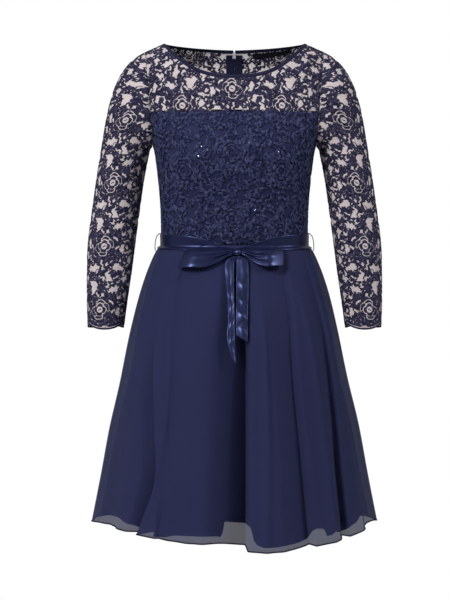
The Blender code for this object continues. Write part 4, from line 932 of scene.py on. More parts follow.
# skirt; z, half width, front depth, back depth, squareness
skirtSet = {
    "sections": ((-912, 270.0, 245, 245, 2.05), (-820, 252.0, 231, 230, 2.05), (-730, 235.5, 215, 213, 2.05),
                 (-640, 215.0, 196, 193, 2.05), (-550, 198.0, 172, 168, 2.08), (-490, 184.5, 150, 145, 2.12),
                 (-450, 173.0, 130, 124, 2.18), (-420, 162.0, 115, 108, 2.25), (-390, 148.0, 98, 92, 2.32),
                 (-381.5, 138.8, 89.8, 83.8, 2.35), (-378, 138.8, 89.8, 83.8, 2.35)),
    "hem": -912, "waist": -378, "top": -378.15,
    # round folds: angle from the front, width, depth, start, lean
    "folds": ((-64, 8, 14, -560, 3), (-26, 5, 7, -400, 5), (72, 6, 9, -600, 0), (104, 8, 26, -430, 2),
              (130, 8, 28, -440, -2), (155, 7, 22, -480, 1), (-156, 8, 26, -470, 2), (-130, 7, 24, -430, -2),
              (-106, 8, 28, -450, 0)),
    # pleats with one steep side: their lap over it in degrees, the gentle side (-1 towards the viewer's
    # left), and rows of height, angle, the gentle side's width in millimetres and depth
    "steep": 6.0,
    "pleats": (
        (-2.4, -1, ((-912, 5.3, 72, 46), (-750, 6.2, 72, 42), (-640, 6.8, 70, 36), (-555, 7.3, 66, 29),
                    (-480, 7.8, 54, 19), (-430, 8.1, 40, 9), (-395, 8.3, 34, 0))),
        (-3.4, -1, ((-912, -43.0, 30, 36), (-880, -41.0, 30, 34), (-804, -38.2, 30, 29),
                    (-703, -42.5, 30, 23), (-600, -50.0, 28, 16), (-520, -54.0, 26, 9), (-430, -58.0, 24, 3),
                    (-395, -59.0, 24, 0))),
        (-3.0, -1, ((-912, 35.5, 66, 25), (-869, 35.2, 66, 23), (-708, 34.8, 64, 18), (-600, 35.6, 60, 15),
                    (-530, 37.6, 54, 12), (-450, 41.2, 46, 8), (-395, 44.5, 40, 2))),
        (-3.0, -1, ((-912, 53.5, 26, 21), (-769, 55.5, 26, 17), (-642, 59.5, 24, 12), (-536, 61.0, 22, 7),
                    (-430, 62.5, 20, 2), (-395, 63.0, 20, 0))),
        (1.0, 1, ((-912, -33.5, 22, 7), (-737, -33.6, 22, 6), (-626, -34.8, 20, 5), (-436, -43.5, 18, 4),
                  (-395, -45.0, 18, 1))),
    ),
    "lifts": ((-180, 4), (-120, 4), (-90, 4), (-75, 12), (-60, 17), (-42, 14), (-25, 8), (-8, 8), (3, 0),
              (12, -7), (30, -5), (45, 1), (58, 6), (70, 13), (80, 11), (90, 4), (120, 4), (180, 4)),
    "liningInset": ((-912, 13), (-480, 12.5), (-430, 11), (-400, 8), (-387, 5.5), (-381.5, 3.8), (-378, 3.4)),
    # soft ridges (height above 0) and troughs: angle, width, height, start, lean
    "creases": ((-84, 4, 3, -430, 0), (-74, 3.5, -4, -470, 2), (-62, 2.2, 2.5, -480, 4),
                (-55, 3, 3, -420, -2), (-20, 3.0, 1.5, -385, 7), (-13.8, 2.6, 5.0, -385, 7),
                (13, 2.2, 4.6, -390, -7), (20, 2.2, 1.4, -400, -4), (44, 2.4, 4.0, -400, -5),
                (63, 3.0, 3.4, -430, -4), (67, 2.0, -2.4, -520, -3), (79, 3.5, -3.5, -440, 0),
                (87, 4, 3, -520, 0), (97, 3, 2.5, -470, 1), (112, 4, 3.6, -410, 0), (119, 3, -3.0, -500, -1),
                (124, 2, 2.2, -450, 2), (141, 4, 3.6, -430, 1), (148, 3, -3.0, -520, 0),
                (164, 4, 3.2, -420, 1), (173, 3, -2.6, -600, 0), (-170, 4, 3.2, -430, 0),
                (-163, 3, -3.0, -500, 1), (-145, 4, 3.6, -410, 0), (-138, 3, 2.6, -560, 0),
                (-120, 4, 3.6, -430, -1), (-113, 3, -2.6, -520, 0), (-96, 3.5, 3.0, -440, 0)),
    # the lining: share of the folds' depth, how much rounder its pleats are, its hem, and how far that is
    # drawn up, by angle
    "liningFold": 0.85, "liningSoften": 9.0, "liningHem": -907,
    "liningRise": ((-180, 4), (-120, 2), (-90, 6), (-72, 11), (-62, 8), (-57, 6), (-50, 5), (-46.5, -1),
                   (-44, -7), (-40, -7), (-37, -6), (-33, -4), (-28, 3), (-20, 6), (-8, 5), (-6.4, 3),
                   (-5.0, 32), (5.6, 34), (8.0, 30), (9.2, 6), (13, 1), (31, 1), (36.5, 3), (38.5, 22),
                   (41.5, 20), (43, 5), (52, 3), (55, -2), (59, 8), (75, 9), (90, 4), (120, 2), (180, 4)),
    # pieces: name, start and end angle, columns
    "chiffons": (("skirtFront", -90, 90, 361), ("skirtBackLeft", 90, 180, 131),
                 ("skirtBackRight", 180, 270, 131)),
    "linings": (("skirtLiningFront", -90, 90, 181), ("skirtLiningBack", 90, 270, 181)),
    "chiffonRows": 58, "liningRows": 40, "chiffonWall": 0.5, "liningWall": 0.8, "hemRadius": 1.3,
}


def ovalRadius(angle, width, depth, squareness):
    turn = np.radians(angle)
    across, ahead = np.abs(np.sin(turn) / width), np.abs(np.cos(turn) / depth)
    return (across ** squareness + ahead ** squareness) ** (-1 / squareness)


def angleBetween(a, b):
    return (a - b + 180) % 360 - 180


def skirtRadius(angle, z):
    # the skirt without its folds; above the waist, the lace's inside
    angle, z = np.broadcast_arrays(np.asarray(angle, float), np.asarray(z, float))
    facing = np.abs(angleBetween(angle, 0)) <= 90

    def radius(rows, squareness):
        depth = np.where(facing, onCurve(rows, 2, z), onCurve(rows, 3, z))
        return ovalRadius(angle, onCurve(rows, 1, z), depth, squareness)

    below = radius(skirtSet["sections"], onCurve(skirtSet["sections"], 4, z))
    return np.where(z > skirtSet["waist"], radius(bodySet["sections"], bodySet["squareness"]) + 1.8, below)


def pleatPlace(pleat, angle, z):
    # how far each place is from a pleat's line on its gentle side, and the pleat's width and depth there
    _, side, rows = pleat
    line, wide, depth = [onCurve(rows, k, z) for k in (1, 2, 3)]
    return side * angleBetween(angle, line) * np.radians(1) * skirtRadius(angle, z), wide, depth


def steepSide(away, soften=0.0):
    return np.exp(-np.abs(away / (skirtSet["steep"] + soften)) ** 2.8)


def foldDepth(angle, z, soften=0.0):
    total = 0
    for middle, width, depth, start, lean in skirtSet["folds"]:
        drop = (start - z) / (start - skirtSet["hem"])
        away = angleBetween(angle, middle - lean * (1 - drop)) / width
        deep = depth * ease(drop * 0.55 + 0.05) / float(ease(0.6))
        total = total + np.where(drop > 0, deep * np.exp(-away ** 2), 0)
    for pleat in skirtSet["pleats"]:
        away, wide, depth = pleatPlace(pleat, angle, z)
        left = 1 - away / (wide + soften)
        gentle = (left + np.sqrt(left * left + 0.006)) / 2
        total = total + np.maximum(depth, 0) * np.where(away > 0, gentle, steepSide(away, soften))
    return total


def paintedPleatShade(angle, z):
    # painted shade in the deep front pleat, 0 to 1, strongest at the pleat's line and where the pleat is
    # deepest
    away, wide, depth = pleatPlace(skirtSet["pleats"][0], angle, z)
    inside = np.where(away > 0, np.clip(1 - away / wide, 0, 1) ** 0.5, steepSide(away))
    return inside * np.clip(depth / 22, 0, 1)


def lapTurn(angle, z):
    # how far a pleat's sharp edge falls over its trough, in degrees
    total = 0
    for lap, side, rows in skirtSet["pleats"]:
        edge = onCurve(rows, 1, z) - side * (skirtSet["steep"] / 4.3 + 1.3)
        reach = np.clip(onCurve(rows, 3, z) / rows[0][3], 0, 1)
        total = total + lap * reach ** 0.8 * np.exp(-(angleBetween(angle, edge) / 1.7) ** 2)
    return total


def softCreases(angle, z):
    total = 0
    rise = (skirtSet["hem"] - z) / (skirtSet["hem"] - skirtSet["waist"])
    for middle, width, height, start, lean in skirtSet["creases"]:
        drop = np.clip((start - z) / 200, 0, 1)
        away = angleBetween(angle, middle - lean * rise) / width
        total = total + height * ease(drop) * np.exp(-away ** 2)
    return total


def roundPoints(angle, radius, z):
    turn = np.radians(angle)
    return np.stack([radius * np.sin(turn), -radius * np.cos(turn), z + 0 * radius], -1)


def hungZ(z, lift):
    return z + lift * (skirtSet["waist"] - z) / (skirtSet["waist"] - skirtSet["hem"])


def gridNormals(points, outward=None):
    normals = unit(np.cross(np.gradient(points, axis=1), np.gradient(points, axis=0)))
    middle = points.mean((0, 1)) if outward is None else outward
    flip = (normals * (points - middle)).sum() < 0
    return -normals if flip else normals


def hungGrid(angle, radius, z, lift, turned=None):
    # the places of a hung cloth, with room for the seams at both side edges
    points = roundPoints(angle if turned is None else turned, radius, hungZ(z, lift))
    for column, inward in ((0, 1), (-1, -1)):
        turn = math.radians(angle[0, column])
        points[:, column] += np.array([math.cos(turn), math.sin(turn), 0]) * inward * seamRoom
    return points


def hangCloth(name, points, material, wall, paintedLightMask=None, hemmed=False):
    # a skirt piece, with its cut laid out flat from its mean length down and its greatest width across
    normals = gridNormals(points, np.array([0, 0, -600.0]))
    down = np.linalg.norm(np.diff(points, axis=0), axis=2)
    across = np.linalg.norm(np.diff(points, axis=1), axis=2).sum(1).max()
    flat = flatGrid(np.linspace(0, across, points.shape[1]), np.append(0, -np.cumsum(down.mean(1))))
    # the mask of painted shade, when given, goes on with the piece
    piece = gridPiece(name, points, normals, material, (nodeName(name),), flat, wall, paintedLightMask=paintedLightMask)
    hems = [hemRoll(name + "Hem", points[-1], normals[-1])] if hemmed else []


def addChiffon():
    low = np.linspace(-427, skirtSet["hem"], skirtSet["chiffonRows"])
    z = np.concatenate([np.linspace(skirtSet["top"], -420, 12), low])[:, None]
    for name, start, end, columns in skirtSet["chiffons"]:
        angle = np.linspace(start, end, columns)[None]
        lift = onCurve(skirtSet["lifts"], 1, angleBetween(angle, 0))
        seam = ease(np.minimum(angle - start, end - angle) / 4)
        creases = softCreases(angle, z) * seam * ease((-385 - z) / 25)
        radius = skirtRadius(angle, z) - foldDepth(angle, z) + creases
        points = hungGrid(angle, radius, z, lift, angle + lapTurn(angle, z) * seam)
        # the chiffon carries the painted shade of the deep front pleat
        hangCloth(name, points, "chiffon", skirtSet["chiffonWall"],
                  paintedPleatShade(angle, z), True)


def addSkirtLining():
    low = np.linspace(-428, skirtSet["liningHem"], skirtSet["liningRows"])
    z = np.concatenate([np.linspace(skirtSet["top"], -420, 12), low])[:, None]
    rise = np.array(skirtSet["liningRise"], float)
    for name, start, end, columns in skirtSet["linings"]:
        angle = np.linspace(start, end, columns)[None]
        facing = angleBetween(angle, 0)
        lift = onCurve(skirtSet["lifts"], 1, facing)
        lift = lift + np.interp(facing, rise[:, 0], rise[:, 1]) * ease((-600 - z) / 300)
        radius = skirtRadius(angle, z) - onCurve(skirtSet["liningInset"], 1, z)
        radius = radius - skirtSet["liningFold"] * foldDepth(angle, z, skirtSet["liningSoften"])
        points = hungGrid(angle, radius, z, lift)
        hangCloth(name, points, "liningCloth", skirtSet["liningWall"])


def tube(path, radius, sides=6, caps=True):
    # points and faces of a round tube along a path
    path = np.asarray(path, float)
    along = unit(np.gradient(path, axis=0))
    side = unit(np.cross(along, [0.0, 0.0, 1.0]) + 1e-6)
    up = np.cross(side, along)
    turn = np.linspace(0, 2 * np.pi, sides, endpoint=False)
    radius = np.broadcast_to(np.asarray(radius, float), (len(path),))
    ring = (path[:, None] + radius[:, None, None] * (np.cos(turn)[None, :, None] * side[:, None]
                                                     + np.sin(turn)[None, :, None] * up[:, None]))
    faces = gridFaces(len(path), sides, True)
    faces = turnedOut(ring, faces, ring - path[:, None])
    if caps:
        first, last = np.arange(sides), (len(path) - 1) * sides + np.arange(sides)
        for cap, way in ((first, -along[0]), (last, along[-1])):
            flatRing = ring.reshape(-1, 3)[cap]
            made = np.cross(flatRing[1] - flatRing[0], flatRing[2] - flatRing[0])
            faces.append(cap[None] if made @ way > 0 else cap[None, ::-1])
    return ring, faces


def hemRoll(name, edge, normals):
    # narrow rolled hem along the chiffon's lower edge
    ring, faces = tube(edge + normals * 0.25 + [0, 0, 0.9], skirtSet["hemRadius"])
    mesh = newMesh(name, ring, faces)
    return addPiece(name, mesh, finishes["chiffonHem"])


addChiffon()
addSkirtLining()
print("skirt ready")

# neck binding, armhole seams and label
trimSet = {
    # the binding's rows from the neckline down, and how far each stands out
    "bandRows": ((0, -0.35), (1.2, 0.15), (3.0, 0.3), (4.8, 0.15), (6.0, -0.2)),
    "bandOut": 1.5, "bandCut": 10.5, "columns": 420,
    "bandWall": 1.5, "stitchInset": 4.6, "stitchOut": 1.75,
    # pitch, length and radius of the stitches
    "neckStitch": (3.4, 2.2, 0.28), "labelStitch": (2.6, 1.7, 0.22),
    "seamWidth": 9.0, "seamCut": 10.5, "seamWall": 0.5,
    "labelX": (36, 106), "labelDrop": (7.5, 18), "labelOut": 0.5, "labelWall": 0.8,
}


def bandRow(inset, count):
    # one line round the neck from the zip on the wearer's right, past the front, to the zip on the left
    frontLine = neckLine(front, inset, count)
    backLine = neckLine(back, inset, count)
    backLine = backLine[backLine[:, 0] > 2]
    start = np.array([[1.3, float(flatV(0.0, necklineZ(back, 0.0))) - inset]])
    backLine = np.concatenate([start, backLine[:-1]])
    out = trimSet["bandOut"]
    frontPoints = onBody(front, frontLine[:, 0], frontLine[:, 1], np.full(len(frontLine), out))
    backPoints = onBody(back, backLine[:, 0], backLine[:, 1], np.full(len(backLine), out))
    turned = np.array([-1, 1, 1])
    return [np.concatenate([b * turned, f, b[::-1]]) for f, b in zip(frontPoints, backPoints)]


def evenLine(points, normals, count):
    run = runOf(points)
    at = np.linspace(0, run[-1], count)
    return readAlong(at, run, points), unit(readAlong(at, run, normals)), run[-1]


def stitches(name, points, normals, sizes):
    # a row of small rounded stitches lying on a surface
    pitch, length, radius = sizes
    run, parts = runOf(points), []
    wide = np.array([0.35, 1.0, 1.0, 0.35])[:, None] * radius
    for start in np.arange(pitch / 2, run[-1] - length, pitch):
        at = start + np.array([0, 0.2, 0.8, 1.0]) * length
        out = unit(readAlong(at, run, normals))
        place = readAlong(at, run, points) + out * (np.array([0.0, 1.0, 1.0, 0.0]) * radius)[:, None]
        side = unit(np.cross(unit(np.gradient(place, axis=0)), out))
        up = np.cross(side, unit(np.gradient(place, axis=0)))
        ring = np.stack([place + side * wide, place + up * wide, place - side * wide, place - up * wide], 1)
        walls = turnedOut(ring, gridFaces(4, 4, True), ring - place[:, None])[0]
        parts.append((ring, (walls, [[0, 1, 2, 3]], [[15, 14, 13, 12]])))
    return addPiece(name, newMesh(name, *joined(parts)), finishes["threadCord"])


def addBinding():
    columns, rows = trimSet["columns"], np.array(trimSet["bandRows"])
    lines, facings = [], []
    for inset, _ in rows:
        points, normals = bandRow(inset, 64)
        if inset == 0:
            normals = bandRow(rows[1, 0], 64)[1]
            normals = normals[np.linspace(0, len(normals) - 1, len(points)).astype(int)]
        line, facing, length = evenLine(points, normals, columns)
        lines.append(line)
        facings.append(facing)
    normals = np.stack(facings)
    points = np.stack(lines) + normals * rows[:, 1, None, None]
    flat = flatGrid(np.linspace(0, length, columns), rows[:, 0])
    band = gridPiece("neckBinding", points, normals, "bindingCloth", ("neck_binding",), flat,
                     trimSet["bandWall"])
    inset, facing = bandRow(trimSet["stitchInset"], 64)
    line = inset + facing * trimSet["stitchOut"]
    thread = stitches("neckStitches", line, facing, trimSet["neckStitch"])


def addArmholeSeams():
    # seam allowance behind the lace round each armhole
    v = np.linspace(float(ridgeV(bodySet["shoulderTip"])) - 1, bodySet["underarm"], 90)[:, None]
    for side, part in halves:
        width = trimSet["seamWidth"] * np.clip((v + 190) / 12, 0.45, 1)
        u = sideU(side, v) - 0.4 - width * np.linspace(1, 0, 6)[None]
        for hand, word in hands:
            points, normals = onBody(side, u, v + 0 * u, 0 * u + 1.2, hand)
            piece = gridPiece("armholeSeam" + part + word, points, normals, "bindingCloth",
                              flat=np.stack([u, v + 0 * u], -1), wall=trimSet["seamWall"])


def addLabel():
    # blank neck label inside the wearer's left back
    x = np.linspace(*trimSet["labelX"], 60)
    v = flatV(x, necklineZ(back, x)) - np.linspace(*trimSet["labelDrop"], 12)[::-1, None]
    u = flatU(back, x[None] + 0 * v, v)
    points, normals = onBody(back, u, v, 0 * u + trimSet["labelOut"])
    label = gridPiece("neckLabel", points, normals, "labelCloth", ("neck_label",), np.stack([u, v], -1),
                      trimSet["labelWall"])
    line = points[-1] + (points[-2] - points[-1]) * 0.8 - normals[-1] * 0.1
    hem = stitches("labelStitches", line, -normals[-1], trimSet["labelStitch"])


addBinding()
addArmholeSeams()
addLabel()
print("neck trim ready")

# ribbon belt and bow
bowSet = {
    "beltOut": ((-398, 3.3), (-386, 3.4), (-379, 2.4), (-355, 2.4)),
    "belt": ((0, -391, 6), (10, -389.5, 7.5), (20, -386, 9.5), (35, -379, 12.5), (50, -374, 13.5),
             (90, -373, 13.5), (180, -373, 13.5)),
    "beltWall": 0.8, "beltCut": 27, "bowWall": 0.7,
    "knot": (4.6, -390), "knotSeat": -394.5, "knotHalf": (8, 6.5, 7.5), "knotRoom": 0.5,
    "start": {"left": 7.6, "right": 7.7}, "reach": {"left": 86, "right": 102},
    "tipDrop": {"left": 9, "right": 12}, "tipSlant": {"left": 0.0, "right": 0.4}, "halfWidth": 15, "pinch": 5,
    # a loop's way: reach, how far out, drop; the back run is the same on both sides
    "loopBack": ((0, 0.00, 7.0, 0), (1, 0.30, 7.9, -2), (2, 0.62, 7.9, -3), (3, 0.86, 8.6, -2),
                 (4, 0.97, 9.6, 0)),
    "loopFront": {
        "left": ((5, 1.00, 11.0, 1), (6, 0.95, 14.0, 2), (7, 0.70, 20.5, 4), (8, 0.52, 17.0, 6),
                 (9, 0.26, 11.5, 5), (10, 0.00, 10.5, 0)),
        "right": ((5, 1.00, 12.0, 1), (6, 0.975, 16.0, 2), (7, 0.80, 22.5, 3), (8, 0.56, 17.0, 6),
                  (9, 0.30, 11.0, 5), (10, 0.00, 10.5, 0)),
    },
    "loopLean": 0.4,
    "tails": {
        "right": ((-398.3, -3.5, 4.0, 9.5), (-403, -13, 2.0, 6.5), (-412, -18.5, -1.0, 4.6),
                  (-440, -16.5, -1.8, 4.0), (-480, -13, -1.6, 4.0), (-518, -12.5, -0.8, 3.5),
                  (-536, -14.5, -0.4, 4.0), (-557, -12.6, 0.0, 4.0), (-576, -6.7, 0.8, 3.5),
                  (-588, 1.2, 2.2, 3.5)),
        "left": ((-398.3, 5.0, 12.5, 9.5), (-403, 4.0, 21, 6.5), (-412, 3.0, 25, 4.6), (-440, 2.7, 25, 4.0),
                 (-470, 2.7, 24.5, 3.0), (-500, 2.4, 23.5, 5.0), (-525, 2.4, 23, 3.5), (-545, 3.0, 23, 4.0)),
    },
    "tailSlant": {"left": 6, "right": 0}, "tailLean": {"left": 0.0, "right": 1.2},
    "tailWide": {"left": 24, "right": 20},
    # creases of a loop: place across (-1 to 1), width, height, how far out they reach
    "loopCreases": ((-0.62, 0.18, 3.0, 0.90), (-0.18, 0.15, -2.8, 0.80), (0.26, 0.17, 3.4, 0.95),
                    (0.66, 0.14, -2.6, 0.8)),
    # creases of a tail: height, place across, slant, width down, width across, height out
    "tailCreases": {
        "right": ((-425, -0.3, 5, 13, 0.5, 1.8), (-450, 0.4, -6, 8, 0.5, -1.2), (-470, -0.3, 6, 8, 0.6, 1.6),
                  (-492, 0.3, -6, 7, 0.7, 1.8), (-508, -0.2, 5, 5, 0.6, -1.2), (-521, 0.3, -5, 6, 0.7, 2.0),
                  (-536, -0.3, 4, 5, 0.7, -1.4), (-550, 0.2, -5, 7, 0.7, 1.8), (-568, 0, 4, 6, 0.7, 1.0)),
        "left": ((-420, 0.4, 8, 12, 0.5, 2.2), (-437, -0.4, -9, 7, 0.6, -1.5), (-450, 0.2, 9, 7, 0.8, 2.2),
                 (-466, -0.2, -10, 6, 0.8, -1.6), (-478, 0.2, 9, 6, 0.8, 2.4),
                 (-492, -0.3, -9, 6, 0.8, -1.5), (-504, 0.2, 10, 6, 0.8, 2.4),
                 (-517, -0.2, -9, 6, 0.7, -1.3), (-529, 0.2, 8, 6, 0.7, 1.8)),
    },
    "thread": ((140.7, -358), (144.6, -359.2), (148.2, -363.5), (150.4, -370), (151.4, -377), (151.8, -384),
               (151.6, -388.5), (150.6, -391.4)),
}


def beltSurface(angle, z, out):
    return roundPoints(angle, skirtRadius(angle, z) + out, z)


def frontPoint(x, z, out):
    x, z, out = np.broadcast_arrays(np.asarray(x, float), np.asarray(z, float), np.asarray(out, float))
    angle = np.zeros(x.shape)
    for _ in range(8):
        angle = np.degrees(np.arcsin(np.clip(x / (skirtRadius(angle, z) + out), -1, 1)))
    return beltSurface(angle, z, out)


def ribbonSheet(name, points, normals, wide):
    run = np.append(0, np.cumsum(np.linalg.norm(np.diff(points, axis=1), axis=2).mean(0)))
    flat = flatGrid(run, np.linspace(-wide / 2, wide / 2, points.shape[0]))
    piece = gridPiece(name, points, normals, "satin", (nodeName(name),), flat, bowSet["bowWall"])


def addBelt():
    angle = np.linspace(-180, 180, 271)[:-1][None]
    share = np.linspace(-1, 1, 15)[:, None]
    z = onCurve(bowSet["belt"], 1, np.abs(angle)) + share * onCurve(bowSet["belt"], 2, np.abs(angle))
    out = onCurve(bowSet["beltOut"], 1, z)
    # soft lengthwise creases, deeper where the ribbon is drawn in under the bow
    near = ease((60 - np.abs(angle)) / 40)
    crush = 0.25 * np.sin(share * 7 + 0.03 * angle) + 0.18 * np.sin(share * 12 - 0.05 * angle + 1)
    crush = crush * (0.25 + near)
    out = out + np.maximum(crush, -0.2) + 0.15 * np.sin(np.radians(angle) * 9 + share * 2)
    points = beltSurface(angle + 0 * z, z, out)
    normals = unit(points * [1, 1, 0])
    piece = gridPiece("beltRibbon", points, normals, "satin", ("belt_ribbon",), None, bowSet["beltWall"],
                      True)


def addLoop(name, hand):
    place = np.linspace(0, 10, 121)[None]
    share = np.linspace(-1, 1, 25)[:, None]
    way = bowSet["loopBack"] + bowSet["loopFront"][name]
    reach, out, drop = [onCurve(way, k, place) for k in (1, 2, 3)]
    half = bowSet["pinch"] + (bowSet["halfWidth"] - bowSet["pinch"]) * ease(reach / 0.55)
    z = bowSet["knot"][1] - bowSet["tipDrop"][name] * reach - drop + share * half
    slant = -share * bowSet["tipSlant"][name] * half * reach
    start = bowSet["start"][name]
    x = bowSet["knot"][0] + hand * (start + (bowSet["reach"][name] - start) * reach + slant)
    crease = 0
    for middle, width, height, far in bowSet["loopCreases"]:
        fan = middle * (0.75 + 0.35 * reach)
        fade = ease((far - reach) / far) * ease(reach / 0.12)
        crease = crease + height * np.exp(-((share - fan) / width) ** 2) * fade
    ahead = np.where(place > 5, 1, -0.2) * ease(np.abs(place - 5) / 1.2)
    out = out - 1.2 * np.abs(share) ** 3 * reach + (crease - bowSet["loopLean"] * share) * ahead
    points = frontPoint(x, z, np.maximum(out, 4.9))
    normals = gridNormals(points, np.array([0, -100.0, -390.0]))
    if normals[12, 2, 1] < 0:
        normals = -normals
    ribbonSheet("bowLoop" + name.title(), points, normals, 2 * bowSet["halfWidth"])


def addTail(name):
    rows = bowSet["tails"][name][::-1]
    z = np.linspace(rows[-1][0], rows[0][0], 90)[None]
    share = np.linspace(-1, 1, 17)[:, None]
    low, high, out = [onCurve(rows, k, z) for k in (1, 2, 3)]
    x = (low + high) / 2 + share * (high - low) / 2
    slant = bowSet["tailSlant"][name] * ease((rows[0][0] + 22 - z) / 22)
    out = out + 1.0 - np.abs(share) * 1.0 - bowSet["tailLean"][name] * share
    for height, across, lean, tall, wide, lift in bowSet["tailCreases"][name]:
        tilt = (z - height + lean * share) / tall
        out = out + 0.62 * lift * np.exp(-np.abs(tilt) ** 1.6 - ((share - across) / wide) ** 2)
    points = frontPoint(x, z - share * slant, np.maximum(out, 3.0) + 1.0)
    normals = unit(np.array([0, -1.0, 0.25]) + 0 * points)
    ribbonSheet("bowTail" + name.title(), points, normals, bowSet["tailWide"][name])


def addKnot():
    face = frontPoint(bowSet["knot"][0], bowSet["knotSeat"] + np.array([-7.0, 0, 7]),
                      bowSet["beltOut"][0][1] + 1.5)
    slope = math.atan2(face[2, 1] - face[0, 1], face[2, 2] - face[0, 2])
    outward = np.array([0, -math.cos(slope), math.sin(slope)])
    stack = ((face - face[1]) @ outward).max()
    centre = face[1] + outward * (stack + bowSet["knotRoom"] + bowSet["knotHalf"][1])
    turn = np.linspace(0, 2 * np.pi, 48, endpoint=False)[None]
    rise = np.linspace(-1, 1, 29)[:, None]
    # a band of ribbon folded round the loops, narrowest in its middle
    across = bowSet["knotHalf"][0] * rise * (1 - 0.12 * np.sin(np.pi * np.abs(rise))) + 0 * turn
    full = np.sqrt(np.clip(1 - np.abs(rise) ** 2.6, 0, 1)) * (0.95 + 0.05 * np.cos(rise * 5))
    full = full * (1 - 0.07 * np.abs(np.sin(rise * 6.5 + 0.5 * np.sin(turn * 2))) * (np.abs(rise) < 0.9))
    outs = bowSet["knotHalf"][1] * full * np.cos(turn)
    ups = bowSet["knotHalf"][2] * full * np.sin(turn)
    upward = np.array([0, outward[2], -outward[1]])
    points = centre + across[..., None] * [1, 0, 0] + outs[..., None] * outward + ups[..., None] * upward
    normals = points - centre
    mesh = newMesh("bowKnot", points, turnedOut(points, gridFaces(29, 48, True), normals))
    knot = addPiece("bowKnot", mesh, finishes["satin"], ("bow_knot",))


def addThreadLoops():
    path = np.array(bowSet["thread"], float)
    run = runOf(path)
    at = np.linspace(0, run[-1], 90)
    x, z = readAlong(at, run, path).T
    middle = np.stack([x, 0 * x, z], 1)
    side = np.array([0, 1.0, 0])
    up = np.cross(unit(np.gradient(middle, axis=0)), side)
    for hand, word in hands:
        strands = []
        for strand in range(3):
            turn = (at * 1.5 + strand * 2 * np.pi / 3)[:, None]
            path = middle + 0.42 * (np.cos(turn) * side + np.sin(turn) * up)
            strands.append(tube(path * [hand, 1, 1], 0.46))
        addPiece("threadLoop" + word, newMesh("threadLoop" + word, *joined(strands)), finishes["threadCord"],
                 ("belt_loop_" + word.lower(),))


addBelt()
for name, hand in (("left", 1), ("right", -1)):
    addLoop(name, hand)
    addTail(name)
addKnot()
addThreadLoops()
print("belt and bow ready")

# zip at the centre back
zipSet = {
    "tapeInset": ((-475, 6.5), (-440, 4.4), (-405, 3.6), (-389, 3.5), (-381.5, 1.8), (-378.15, 1.8)),
    "halfGap": 0.15, "tapeWidth": 16, "tapeWall": 1.0, "topV": -10.5, "toothPitch": 1.9,
    # a tooth's side view: place across its middle and height over the tape
    "tooth": ((-0.55, 1.12), (-0.45, 1.62), (0.5, 1.80), (1.7, 1.66), (2.1, 1.12)),
    "stitchInsets": (5, 12.5), "stitch": (3.4, 2.3, 0.22),
}


def tapeRows():
    # centre line of the zip from its foot to the top: places and outward directions
    low = np.linspace(-475, -378.15, 40)
    lift = float(onCurve(skirtSet["lifts"], 1, 180))
    depth = skirtRadius(180.0, low) - foldDepth(180.0, low) - onCurve(zipSet["tapeInset"], 1, low)
    lowPoints = np.stack([0 * low, depth, hungZ(low, lift)], 1)
    high = np.linspace(-374, zipSet["topV"], 120)
    highPoints, _ = onBody(back, 0 * high, high)
    points = np.concatenate([lowPoints, highPoints])
    facing = unit(np.cross(np.array([1.0, 0, 0]), unit(np.gradient(points, axis=0))))
    return points, facing if facing[:, 1].mean() > 0 else -facing, np.concatenate([low, high])


def addTapes(middle, facing, heights):
    run, above = runOf(middle), heights > -376

    def onTape(x, hand):
        # places across the tape, which follows the back above the waist and hangs straight below it
        points = middle[:, None] + hand * x[..., None] * [1, 0, 0]
        points[above] = onBody(back, x[above], heights[above][:, None] + 0 * x[above], 0 * x[above], hand)[0]
        return points

    for hand, word in hands:
        gap = np.where(heights > bodySet["notch"][1], bodySet["notch"][0], zipSet["halfGap"])[:, None]
        x = gap + (zipSet["tapeWidth"] - gap) * np.linspace(0, 1, 9)[None]
        points = onTape(x, hand)
        flat = np.stack([x, run[:, None] + 0 * x], -1)
        piece = gridPiece("zipTape" + word, points, facing[:, None] + 0 * points, "tapeCloth",
                          ("zip_tape_" + word.lower(),), flat, zipSet["tapeWall"])
        for inset in zipSet["stitchInsets"]:
            line = onTape(np.full((len(heights), 1), float(inset)), hand)[:, 0] + facing
            name = "zipStitches{}{}".format(word, int(inset))
            stitches(name, line, facing, zipSet["stitch"])


def addTeeth(middle, facing, heights):
    # interlocked teeth, each a small rounded block over the tapes' edges
    run, parts = runOf(middle), []
    at = np.arange(4, np.interp(bodySet["notch"][1], heights, run) - 4, zipSet["toothPitch"] / 2)
    n = len(zipSet["tooth"])
    block = [[i, i + 1, n + i + 1, n + i] for i in range(n - 1)] + [[n - 1, 0, n, 2 * n - 1], [0, 1, 2, 3]]
    block += [[n, n + 1, n + 2, n + 3], [0, 3, 4], [n, n + 3, n + 4]]
    for k, (place, out) in enumerate(zip(readAlong(at, run, middle), readAlong(at, run, facing))):
        across = np.array([1.0 if k % 2 else -1.0, 0, 0])
        up = unit(np.cross(out, across)) * 0.40
        ring = [place + across * a + out * (o - 0.1) + up * s for s in (-1, 1) for a, o in zipSet["tooth"]]
        ring, faces = np.array(ring), []
        for corner in block:
            a, b, c = ring[corner[:3]]
            outward = ring[corner].mean(0) - ring.mean(0)
            faces.append([corner if np.cross(b - a, c - a) @ outward > 0 else corner[::-1]])
        parts.append((ring, faces))
    addPiece("zipTeeth", newMesh("zipTeeth", *joined(parts)), finishes["threadCord"])


def finishMetal():
    # the slider and its pull are shown as they were built, with their edges softened
    for name in ("zip_slider", "zip_pull"):
        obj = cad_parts[name]
        obj.data.materials.clear()
        obj.data.materials.append(finishes["zipMetal"])
        soft = obj.modifiers.new("softEdges", "BEVEL")
        soft.width = 0.00022
        soft.segments = 2
        soft.limit_method = "ANGLE"


zipLine = tapeRows()
addTapes(*zipLine)
addTeeth(*zipLine)
finishMetal()
print("zip ready")

